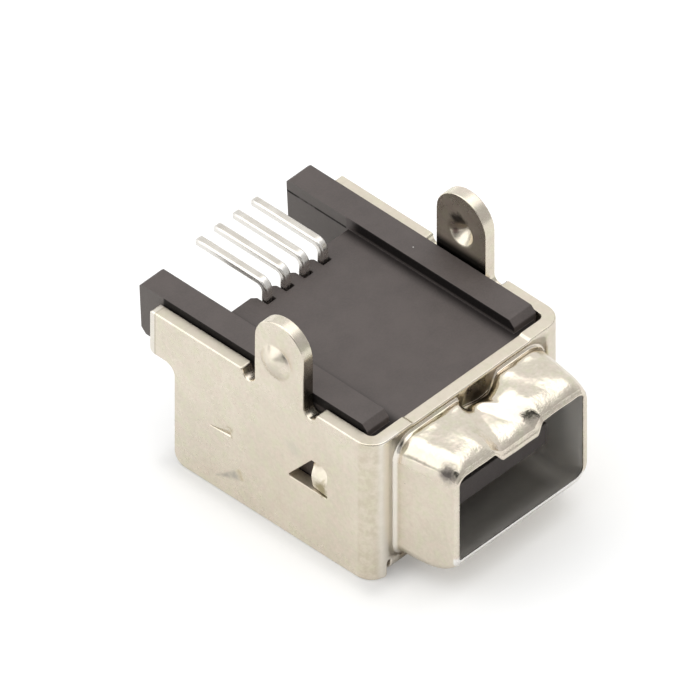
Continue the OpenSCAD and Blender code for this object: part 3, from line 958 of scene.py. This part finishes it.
def cone_patch(skin, side):
    """The pressed bump on the outside of an ear, with a crease round it, and the hollow behind it."""
    angle = CIRCLE_TURNS
    crease = CREASE_D * np.clip(np.cos(angle - CREASE_TURN), 0, 1)
    flare = smooth(FLARE_MIDDLE + (1 - FLARE_MIDDLE) * np.cos(angle - FLARE_TURN))
    cone = (CONE_R, EAR_Y + CONE_BACK, CONE_RISE, CONE_TIP_UP, SHELL_W / 2, 1.0)
    hollow = (HOLLOW_R, EAR_Y, HOLLOW_RISE, 0.0, INNER_X, -1.0)
    for radius, middle_y, middle_z, tip_up, face_x, out in (cone, hollow):
        rows = []
        for share in np.linspace(1, 0, CONE_RINGS):
            if out > 0:
                at_crease = math.exp(-((share - CREASE_AT) / CREASE_W) ** 2) * (share < 1)
                rise = CONE_H * (1 - share ** CONE_POWER) - crease * at_crease
            else:
                rise = HOLLOW_D * mix(1 - share * share, (1 - share) ** FLARE_POWER, flare)
            y = middle_y + radius * share * np.cos(angle)
            z = SHELL_H + middle_z + tip_up * (1 - share) + radius * share * np.sin(angle)
            rows.append(np.stack([side * (face_x + rise), y, z], 1))
        rows = np.array(rows)
        normals = ring_normals(rows)
        normals *= np.sign(normals[0, 0, 0]) * side * out
        normals[-1] = (side * out, 0, 0)
        if side * out > 0:
            rows, normals = rows[:, ::-1], normals[:, ::-1]
        skin.rings(rows, normals, CONE_FINISH)


def barb_corners(side):
    """Rim of a barb on the flat blank."""
    tip = along(BARB_Y + BARB_LEN)
    front = tip - BARB_LEN
    spots = ((tip, WINDOW_Z), (front, WINDOW_Z), (front, WINDOW_Z + BARB_H))
    return on_side([(*spot, r) for spot, r in zip(spots, BARB_RADII)], side)


def barb_depth(spots):
    """Depth of a barb's floor at flat points, deepest at its front."""
    tip = along(BARB_Y + BARB_LEN)
    return np.clip(BARB_D * (tip - np.abs(spots[:, 0])) / BARB_LEN, BARB_TIP_D, BARB_D)


def barb_patch(skin, side):
    """The small barb pressed into a plate's outside: a sloping triangular floor with rounded walls."""
    points, tangents = rounded_outline(barb_corners(side), BARB_STEP)
    into = -left_of(tangents)
    middle = points.mean(0)
    rows, normals = [], []
    for size, share, lean in BARB_WALLS:
        spots = middle + size * (points - middle)
        place, wide, tall, normal = bent(spots, barb_depth(spots) * share)
        inward = into[:, :1] * wide + into[:, 1:] * tall
        turn = math.radians(lean)
        rows.append(place)
        normals.append(math.cos(turn) * normal + math.sin(turn) * inward)
    skin.rings(rows, normals, EDGE_FINISH)

    # The floor has as many points as the walls' last ring, and takes the triangles that fill that ring
    triangles = fill([spots])[1]
    floor = middle + BARB_FLOOR * (points - middle)
    place, _, _, normal = bent(floor, barb_depth(floor))
    skin.add(place, normal, triangles, EDGE_FINISH)
    skin.rings([rows[-1], place], [normal, normal], EDGE_FINISH)


def flap_depth(run, rise):
    """How far the outside of a window's flap lies behind the plate's outside."""
    bend = FLAP_BEND * np.clip(run / FLAP_LEN, 0, 1) ** FLAP_BEND_POWER
    past = rise - FLAP_FOLD_Z
    fold = FLAP_LEAN * (past + np.sqrt(past * past + FLAP_FOLD_SOFT)) / 2
    return FLAP_KERF + bend + fold * smooth(run / FLAP_ROOT)


def flap_patch(skin, side):
    """The short flap behind a window: its upper half is folded further in, its root is in the plate."""
    root = -2 * FLAP_KERF
    corners = on_side([
        (root, FLAP_KERF, 0.0),
        (FLAP_LEN, FLAP_KERF, MIN_CORNER_R),
        (FLAP_LEN + FLAP_SLANT, FLAP_H, MIN_CORNER_R),
        (root, FLAP_H, 0.0),
    ], side)

    def folded(flat, depth):
        """Place of flat points on the flap, with its two tangents and its normal."""
        run, rise = side * flat[:, 0], flat[:, 1]
        depth = np.broadcast_to(depth, run.shape)
        step = SLOPE_STEP
        by_run = (flap_depth(run + step, rise) - flap_depth(run - step, rise)) / (2 * step)
        by_rise = (flap_depth(run, rise + step) - flap_depth(run, rise - step)) / (2 * step)
        one = np.ones_like(run)
        wide = np.stack([-side * by_run, one, 0 * one], 1)
        tall = np.stack([-side * by_rise, 0 * one, one], 1)
        normal = np.stack([side * one, by_run, by_rise], 1)
        normal = normal / np.linalg.norm(normal, axis=1, keepdims=True)
        x = side * (SHELL_W / 2 - flap_depth(run, rise) - depth)
        return np.stack([x, WINDOW_Y + run, WINDOW_Z + rise], 1), side * wide, tall, normal

    outer, inner = cut_edge(skin, corners, folded)
    runs = np.arange(0.0, FLAP_LEN + FLAP_SLANT, FLAP_RUN_STEP)
    rises = np.arange(FLAP_MARGIN, FLAP_H, FLAP_RISE_STEP)
    spots = np.array([(side * run, rise) for run in runs for rise in rises])
    sheet_faces(skin, [outer], [inner], spots, folded)


def shell():
    """The whole sheet as one piece."""
    skin = Skin()
    outer, inner = cut_edge(skin, blank_corners(TICK_RIGHT) + mirrored(blank_corners(TICK_LEFT)), bent)
    outer_loops, inner_loops = [outer], [inner]
    still = [bend_points()]
    for side in (-1, 1):
        outer, inner = cut_edge(skin, window_corners(side), bent, WINDOW_ROLL_R, WINDOW_FINISH)
        cone = (side * along(EAR_Y + CONE_BACK), SHELL_H + CONE_RISE)
        hollow = (side * along(EAR_Y), SHELL_H + HOLLOW_RISE)
        barb, _ = rounded_outline(barb_corners(side), BARB_STEP)
        outer_loops += [outer, circle(cone, CONE_R), barb]
        inner_loops += [inner, circle(hollow, HOLLOW_R)]
        still += [circle(cone, CONE_R + CONE_RING), circle(hollow, HOLLOW_R + CONE_RING)]
        cone_patch(skin, side)
        barb_patch(skin, side)
        flap_patch(skin, side)
    outer_loops.append(np.stack(nose_outline(0.0, NOSE_T + ROOT_FILLET), 1))
    inner_loops.append(np.stack(nose_outline(0.0, ROOT_FILLET), 1))
    sheet_faces(skin, outer_loops, inner_loops, np.concatenate(still), bent)
    nose(skin)
    return skin.make("shell_sheet")


# The contacts: a rounded strip swept along the middle line of its bends

def contact_path():
    """Places (y, z) on the middle line and the direction there, from the tip to the tail's end."""
    middle = RISE_Y + CONTACT_T / 2
    low, high = CONTACT_Z + CONTACT_T / 2, TAIL_Z - CONTACT_T / 2
    r = CONTACT_BEND_R - CONTACT_T / 2
    bend_y = RISE_Y + CONTACT_T - CONTACT_BEND_R
    path = [(y, low, 0.0) for y in np.linspace(CONTACT_TIP_Y, bend_y, BEAM_STEPS, endpoint=False)]
    for turn in np.linspace(0, QUARTER, LOW_BEND_STEPS + 1):
        path.append((bend_y + r * math.sin(turn), low + r * (1 - math.cos(turn)), turn))
    path.append((middle, (low + high) / 2, QUARTER))
    for turn in np.linspace(QUARTER, 0, HIGH_BEND_STEPS + 1):
        path.append((middle + r * (1 - math.sin(turn)), high - r * (1 - math.cos(turn)), turn))
    path += [(y, high, 0.0) for y in np.linspace(middle + r, TAIL_Y, TAIL_STEPS + 1)[1:]]
    return path


def contact_sections():
    """Places on the path, with the strip's inset, its shift along the path and how far it faces back."""
    path = contact_path()
    r = CONTACT_END_R
    turns = quarter_turn(ROUND_STEPS)
    tip = [(path[0], r * (1 - s), r * (1 - c), c) for s, c in turns[:-1]]
    middle = [(place, 0.0, 0.0, 0.0) for place in path[1:-1]]
    end = [(path[-1], r * (1 - c), r * (s - 1), -s) for s, c in turns[1:]]
    return tip + middle + end


def contact(number):
    """One formed contact, with its long edges and its ends rounded."""
    half_w, half_t = CONTACT_W / 2, CONTACT_T / 2
    corners = [(half_w, -half_t), (half_w, half_t), (-half_w, half_t), (-half_w, -half_t)]
    rounded = [(x, y, CONTACT_EDGE_R) for x, y in corners]
    ring, tangents = rounded_outline(rounded, CONTACT_W, STRIP_ARC_STEP)
    outward = -left_of(tangents)
    across = np.array([1.0, 0.0, 0.0])
    middle_x = (number - (CONTACTS + 1) / 2) * PITCH
    rows, normals = [], []
    for (y, z, turn), inset, shift, facing in contact_sections():
        travel = np.array([0.0, math.cos(turn), math.sin(turn)])
        up = np.array([0.0, -math.sin(turn), math.cos(turn)])
        spots = ring - inset * outward
        centre = np.array([middle_x, y, z]) + shift * travel
        rows.append(centre + spots[:, :1] * across + spots[:, 1:] * up)
        around = outward[:, :1] * across + outward[:, 1:] * up
        normals.append(math.sqrt(1 - facing * facing) * around - facing * travel)
    skin = Skin()
    skin.rings(rows, normals)
    size = len(ring)
    skin.add(rows[0], np.broadcast_to((0.0, -1.0, 0.0), (size, 3)), [range(size)])
    skin.add(rows[-1], np.broadcast_to((0.0, 1.0, 0.0), (size, 3)), [range(size - 1, -1, -1)])
    return skin.make(f"contact_strip_{number}")


# Materials

# Places of the colours among a mix node's sockets
MIX_COLOURS_IN = (6, 7)
MIX_COLOUR_OUT = 2


class Graph:
    """Short way to write a node tree."""

    def __init__(self, tree):
        self.tree = tree

    def node(self, kind, inputs=None, **settings):
        """A new node with its settings made and its inputs fed."""
        made = self.tree.nodes.new(kind)
        for name, value in settings.items():
            setattr(made, name, value)
        for name, value in (inputs or {}).items():
            self.feed(made.inputs[name], value)
        return made

    def feed(self, socket, value):
        """Link a socket to another, or give it a plain value."""
        if isinstance(value, bpy.types.NodeSocket):
            self.tree.links.new(value, socket)
        else:
            socket.default_value = value

    def math(self, operation, a, b=0.0, clamp=False):
        made = self.node("ShaderNodeMath", {0: a, 1: b}, operation=operation, use_clamp=clamp)
        return made.outputs[0]

    def product(self, first, *others):
        for other in others:
            first = self.math("MULTIPLY", first, other)
        return first

    def vector(self, operation, a, b):
        """A number from two vectors."""
        return self.node("ShaderNodeVectorMath", {0: a, 1: b}, operation=operation).outputs["Value"]

    def split(self, vector):
        return self.node("ShaderNodeSeparateXYZ", {0: vector}).outputs

    def ramp(self, value, low, high, to_low=0.0, to_high=1.0):
        """Smooth step from one value to another as the input goes from low to high."""
        spans = {"Value": value, "From Min": low, "From Max": high, "To Min": to_low, "To Max": to_high}
        return self.node("ShaderNodeMapRange", spans, interpolation_type="SMOOTHSTEP").outputs["Result"]

    def blend(self, share, a, b):
        """Mix of two colours, each a socket or (red, green, blue)."""
        made = self.node("ShaderNodeMix", {0: share}, data_type="RGBA")
        for index, colour in zip(MIX_COLOURS_IN, (a, b)):
            self.feed(made.inputs[index], (*colour, 1) if isinstance(colour, tuple) else colour)
        return made.outputs[MIX_COLOUR_OUT]

    def bump(self, height, distance, normal=None):
        made = self.node("ShaderNodeBump", {"Height": height, "Distance": distance, "Strength": 1.0})
        if normal is not None:
            self.feed(made.inputs["Normal"], normal)
        return made.outputs["Normal"]


class Surface(Graph):
    """A material's node tree, with the place on the object in millimetres."""

    def __init__(self, name):
        self.material = bpy.data.materials.new(name)
        self.material.use_nodes = True
        super().__init__(self.material.node_tree)
        place = self.node("ShaderNodeTexCoord").outputs["Object"]
        scaled = self.node("ShaderNodeVectorMath", {0: place, "Scale": 1 / MM}, operation="SCALE")
        self.place = scaled.outputs[0]

    def locate(self):
        """Name the values that limits use: places, with Y from the wall, and the way that faces point."""
        self.x, y, self.z = self.split(self.place)
        self.y = self.math("SUBTRACT", y, WALL_Y)
        self.reach = self.math("ABSOLUTE", self.x)
        facing = self.node("ShaderNodeNewGeometry").outputs["True Normal"]
        self.face_x, self.face_y, self.face_z = self.split(facing)

    def within(self, *limits):
        """1 where all limits hold: each is a value's name, where it starts and where it is full."""
        return self.product(*[self.ramp(getattr(self, name), *span) for name, *span in limits])

    def noise(self, scale, detail, roughness=0.5, place=None):
        inputs = {"Vector": place or self.place, "Scale": scale, "Detail": detail, "Roughness": roughness}
        return self.node("ShaderNodeTexNoise", inputs).outputs["Fac"]

    def specks(self, scale, radius, share):
        """1 in small round specks: one in each cell of a share of the cells."""
        cells = self.node("ShaderNodeTexVoronoi", {"Vector": self.place, "Scale": scale})
        red = self.node("ShaderNodeSeparateColor", {"Color": cells.outputs["Color"]}).outputs[0]
        chosen = self.math("LESS_THAN", red, share)
        return self.product(chosen, self.ramp(cells.outputs["Distance"], radius, radius * 0.5))

    def paint(self, colour, over, *masks):
        """A colour with another over it, where all masks hold."""
        return self.blend(self.product(*masks), colour, over)

    def shade(self, inputs):
        """Give the shader its inputs."""
        shader = self.tree.nodes["Principled BSDF"]
        for name, value in inputs.items():
            self.feed(shader.inputs[name], value)
        return self.material


def scuff_mask(s):
    """The drop-shaped scuff low on the left-hand plate, and how far along it is towards its broad end."""
    run = Vector(SCUFF_END) - Vector(SCUFF_TIP)
    length = run.length
    run.normalize()
    uneven = s.noise(*SCUFF_NOISE)
    back = s.math("SUBTRACT", s.y, SCUFF_TIP[0])
    up = s.math("SUBTRACT", s.z, SCUFF_TIP[1])
    onward = s.math("ADD", s.product(back, run.x), s.product(up, run.y))
    onward = s.math("DIVIDE", onward, length)
    aside = s.math("SUBTRACT", s.product(up, run.x), s.product(back, run.y))
    aside = s.math("ADD", s.math("ABSOLUTE", aside), s.product(uneven, SCUFF_RAGGED))
    over = s.math("SUBTRACT", aside, s.product(onward, SCUFF_HALF))
    drop = s.ramp(over, SCUFF_SOFT, 0.0)
    ends = s.product(s.ramp(onward, *SCUFF_TIP_FADE), s.ramp(onward, *SCUFF_END_FADE))
    left = s.math("LESS_THAN", s.x, -INNER_X)
    strength = s.ramp(uneven, *SCUFF_STRENGTH)
    return s.product(drop, ends, left, strength), s.ramp(onward, *SCUFF_BROWN_FROM)


def stained_and_shaded(s, colour):
    """A colour with the sheet's stains and painted shade over it, whose edges are ragged."""
    uneven = s.math("SUBTRACT", s.ragged, 0.5)
    for (x, y, z), inner, outer, strength, shade in STAINS_AND_PAINTED_SHADE:
        gap = s.vector("DISTANCE", s.place, (x, WALL_Y + y, z))
        gap = s.math("ADD", gap, s.product(uneven, outer))
        colour = s.blend(s.ramp(gap, outer, inner, 0.0, strength), colour, shade)
    return colour


def nickel_colour(s, scuff, worn, top_edge):
    """Colour of the sheet, from its plain tones to the marks, painted shade and painted light on it."""
    colour = NICKEL
    for scale, detail, roughness, start, full, strength, tone in NICKEL_TONES:
        pattern = s.noise(scale, detail, roughness)
        colour = s.blend(s.ramp(pattern, start, full, 0.0, strength), colour, tone)
    colour = s.blend(scuff, colour, s.blend(worn, SCUFF_GREY, SCUFF_BROWN))
    colour = stained_and_shaded(s, colour)
    for strength, shade, *limits in SHEET_SHADE_LIGHT_AND_WEAR:
        colour = s.paint(colour, shade, s.within(*limits), strength)
    colour = s.paint(colour, SPECK_COLOUR, s.specks(*NICKEL_SPECKS), SPECK_SHARE)
    colour = s.paint(colour, TOP_EDGE_COLOUR, top_edge, TOP_EDGE_SHARE)
    # The mouth's lining: painted shade deep inside, painted light on the right and in front
    lining = s.blend(s.ramp(s.x, *LINING_RIGHT_X), LINING_PAINTED_SHADE, LINING_LIGHT_RIGHT)
    lining = s.blend(s.ramp(s.y, *LINING_FRONT_Y), lining, LINING_LIGHT_FRONT)
    colour = s.blend(s.ramp(s.finish, *LINING_FROM), colour, lining)
    # Painted highlight on the lower rim of the mouth
    return s.blend(s.within(*LIP_HIGHLIGHT), colour, LIP_HIGHLIGHT_COLOUR)


def nickel_relief(s):
    """Fine grain everywhere, soft waves on the drawn top of the nose and orange peel at its front."""
    normal = s.bump(s.noise(*SHEET_NOISE), SHEET_GRAIN_H)
    normal = s.bump(s.product(s.noise(*WAVE_NOISE), s.within(*DRAWN_TOP)), WAVE_H, normal)
    return s.bump(s.product(s.noise(*PEEL_NOISE), s.ramp(s.y, *PEEL_Y)), PEEL_H, normal)


def nickel():
    """Warm satin nickel, polished where the press has drawn it, with faint stains and specks, and painted
    shade and light.
    """
    s = Surface("nickel_sheet")
    s.locate()
    s.ragged = s.noise(*RAGGED_NOISE)
    s.finish = s.node("ShaderNodeAttribute", attribute_name="finish").outputs["Fac"]
    scuff, worn = scuff_mask(s)
    top_edge = s.within(*TOP_EDGE)
    patchy = s.ramp(s.noise(*PATCH_NOISE), *PATCH_ROUGH)
    rough = s.finish
    for more in (patchy, s.product(scuff, SCUFF_ROUGH), s.product(top_edge, TOP_EDGE_ROUGH)):
        rough = s.math("ADD", rough, more, clamp=True)
    colour = nickel_colour(s, scuff, worn, top_edge)
    normal = nickel_relief(s)
    return s.shade({"Metallic": 1.0, "Base Color": colour, "Roughness": rough, "Normal": normal})


def plastic():
    """Grey-black moulded plastic with a fine grain and a little dust, painted shade where it is shut in
    and some painted light.
    """
    s = Surface("housing_plastic")
    s.locate()
    cloud = s.ramp(s.noise(*CLOUD_NOISE), *NOISE_SPAN)
    colour = s.blend(cloud, PLASTIC_DARK, PLASTIC_PALE)
    grain = s.noise(*PLASTIC_NOISE)
    colour = s.blend(s.ramp(grain, *PLASTIC_GRAIN_SHARE), colour, PLASTIC_GRAIN)
    colour = s.blend(s.specks(*DUST), colour, DUST_COLOUR)

    # Sides of the rails and of the arms that they run on as, with painted light on the arms' sides
    sideways = s.ramp(s.math("ABSOLUTE", s.face_x), *SIDEWAYS)
    side_face = s.product(sideways, s.math("MAXIMUM", s.within(*RAIL_SIDE), s.within(*PLATE_SIDE)))
    arm = s.product(sideways, s.ramp(s.y, *ARM_FROM))
    colour = s.paint(colour, ARM_SIDE_LIGHT, arm, ARM_SHARE)

    # Painted shade on shut-in places: those sides, the panel beside the rails and the tongue; and the
    # dark line along the arms
    line = s.product(s.within(*ARM_LINE), arm, s.ramp(cloud, *ARM_LINE_SHARE))
    shade_and_line = side_face
    for place in (s.within(*RAIL_SHADOW_ON_PANEL), line, s.ramp(s.y, *TONGUE_FROM)):
        shade_and_line = s.math("MAXIMUM", shade_and_line, place)
    colour = s.paint(colour, PLASTIC_PAINTED_SHADE, shade_and_line, PAINTED_SHADE_SHARE)
    # Painted light on the lower part of those sides, by the panel
    foot = s.product(side_face, s.ramp(s.z, *FOOT_FROM))
    colour = s.paint(colour, RAIL_FOOT_LIGHT, foot, FOOT_SHARE)
    return s.shade({
        "Specular IOR Level": s.ramp(shade_and_line, *PLASTIC_GLOSS),
        "Base Color": colour,
        "Roughness": s.ramp(grain, *PLASTIC_ROUGH),
        "Normal": s.bump(grain, PLASTIC_GRAIN_H),
    })


def tin():
    """Bright tin with fine lines along the strip, with painted shade that makes its upward faces darker
    than its edges.
    """
    s = Surface("contact_tin")
    upward = s.split(s.node("ShaderNodeNewGeometry").outputs["Normal"])["Z"]
    stretched = s.node("ShaderNodeMapping", {"Vector": s.place, "Scale": LINE_STRETCH}).outputs[0]
    lines = s.noise(*LINE_NOISE, stretched)
    colour = s.blend(s.ramp(lines, *NOISE_SPAN), TIN_DARK, TIN_PALE)
    # Painted shade on the upward faces
    cloud = s.ramp(s.noise(*TIN_NOISE), *TIN_SPAN)
    shaded_colour = s.blend(cloud, TIN_TOP_SHADE_DARK, TIN_TOP_SHADE_PALE)
    return s.shade({
        "Metallic": 1.0,
        "Base Color": s.blend(s.ramp(upward, *TIN_FLAT), colour, shaded_colour),
        "Roughness": s.ramp(lines, *TIN_ROUGH),
        "Normal": s.bump(lines, LINE_H),
    })


def dress(piece, material):
    """Give a piece one material."""
    piece.data.materials.clear()
    piece.data.materials.append(material)


def round_edges(piece):
    """Join the flat faces of the housing's solid and round its moulded edges."""
    weld = piece.modifiers.new("weld", "WELD")
    weld.merge_threshold = HOUSING_WELD * MM
    flat = piece.modifiers.new("flat_faces", "DECIMATE")
    flat.decimate_type = "DISSOLVE"
    flat.angle_limit = HOUSING_FLAT_TURN
    rounding = piece.modifiers.new("edges", "BEVEL")
    rounding.width = HOUSING_EDGE_R * MM
    rounding.segments = HOUSING_EDGE_STEPS
    rounding.limit_method = "ANGLE"
    rounding.angle_limit = HOUSING_EDGE_TURN


# Floor, light and camera

def add_camera():
    """A camera without perspective, at the fitted view."""
    data = bpy.data.cameras.new("camera")
    data.type = "ORTHO"
    data.ortho_scale = VIEW_WIDTH
    data.clip_start = CLIP_START
    data.clip_end = CLIP_END
    camera = linked("camera", data)
    camera.location = VIEW_CENTRE + TO_CAMERA * CAMERA_AWAY
    camera.rotation_euler = (-TO_CAMERA).to_track_quat("-Z", "Y").to_euler()
    bpy.context.scene.camera = camera


def near_footprint(graph, spot):
    """1 under the object's plates, falling to 0 a little way from them."""
    x, y, _ = graph.split(spot)
    squares = []
    for value, middle, half in ((x, 0.0, SHELL_W / 2), (y, WALL_Y + PLATE_LEN / 2, PLATE_LEN / 2)):
        past = graph.math("ABSOLUTE", graph.math("SUBTRACT", value, middle * MM))
        past = graph.math("MAXIMUM", graph.math("SUBTRACT", past, half * MM), 0.0)
        squares.append(graph.product(past, past))
    apart = graph.math("SQRT", graph.math("ADD", *squares))
    return graph.math("POWER", graph.ramp(apart, CONTACT_SHADE_W, 0.0), 2.0)


def floor_material():
    """White that glows a little where seen or mirrored, with a painted shadow near the object where seen.
    """
    material = bpy.data.materials.new("floor_white")
    material.use_nodes = True
    material.node_tree.nodes.clear()
    graph = Graph(material.node_tree)
    path = graph.node("ShaderNodeLightPath").outputs
    spot = graph.node("ShaderNodeNewGeometry").outputs["Position"]
    shade = graph.product(near_footprint(graph, spot), path["Is Camera Ray"], CONTACT_SHADE)
    lit = graph.math("SUBTRACT", 1.0, shade)
    away = graph.vector("DOT_PRODUCT", spot, BACK_LEFT)
    mirrored_glow = graph.ramp(away, SWEEP_NEAR, SWEEP_FAR, FLOOR_GLOW_MIRRORED, SWEEP_GLOW)
    mirrored_ray = graph.math("MAXIMUM", path["Is Glossy Ray"], path["Is Transmission Ray"])
    seen = graph.product(path["Is Camera Ray"], FLOOR_GLOW_SEEN)
    strength = graph.math("ADD", seen, graph.product(mirrored_ray, mirrored_glow))
    glow = graph.node("ShaderNodeEmission", {"Strength": graph.product(strength, lit)})
    diffuse = graph.node("ShaderNodeBsdfDiffuse", {"Color": graph.blend(lit, (0, 0, 0), FLOOR_COLOUR)})
    both = graph.node("ShaderNodeAddShader", {0: diffuse.outputs[0], 1: glow.outputs[0]})
    graph.node("ShaderNodeOutputMaterial", {"Surface": both.outputs[0]})
    return material


def add_floor():
    """A white floor that keeps the object's shadow."""
    mesh = bpy.data.meshes.new("floor")
    corners = [(-1, -1, 0), (1, -1, 0), (1, 1, 0), (-1, 1, 0)]
    mesh.from_pydata([Vector(c) * FLOOR_HALF for c in corners], [], [(0, 1, 2, 3)])
    mesh.materials.append(floor_material())
    linked("floor", mesh)


def add_world():
    """A white studio: softboxes above and at the back left, a pale backdrop, a dark lens.

    The camera itself sees white.
    """
    world = bpy.data.worlds.new("studio")
    bpy.context.scene.world = world
    world.use_nodes = True
    graph = Graph(world.node_tree)
    direction = graph.node("ShaderNodeTexCoord").outputs["Generated"]

    def towards(middle, inner, outer):
        """1 within the inner angle of a direction, 0 beyond the outer one."""
        near = graph.vector("DOT_PRODUCT", direction, Vector(middle).normalized())
        return graph.ramp(near, math.cos(math.radians(outer)), math.cos(math.radians(inner)))

    boxes = graph.math("MAXIMUM", towards(*OVERHEAD), towards(*BACK_BOX))
    level = graph.math("ADD", graph.product(boxes, SOFTBOX_LEVEL), ROOM_LEVEL)
    for light, its_level in ((BACKDROP, BACKDROP_LEVEL), (FRONT, FRONT_LEVEL)):
        level = graph.math("ADD", level, graph.product(towards(*light), its_level - ROOM_LEVEL))
    level = graph.product(level, graph.math("SUBTRACT", 1.0, graph.product(towards(*LENS), LENS_DARK)))
    level = graph.math("MAXIMUM", level, graph.node("ShaderNodeLightPath").outputs["Is Camera Ray"])
    background = world.node_tree.nodes["Background"]
    background.inputs["Color"].default_value = (1, 1, 1, 1)
    graph.feed(background.inputs["Strength"], level)


sheet = shell()
dress(sheet, nickel())
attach(sheet, "root")
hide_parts("shell")

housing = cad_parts["housing"]
dress(housing, plastic())
round_edges(housing)

contact_finish = tin()
for number in range(1, CONTACTS + 1):
    strip = contact(number)
    dress(strip, contact_finish)
    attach(strip, "root")
    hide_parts(f"contact_{number}")

add_camera()
add_floor()
add_world()
bpy.context.scene.view_settings.view_transform = "Standard"
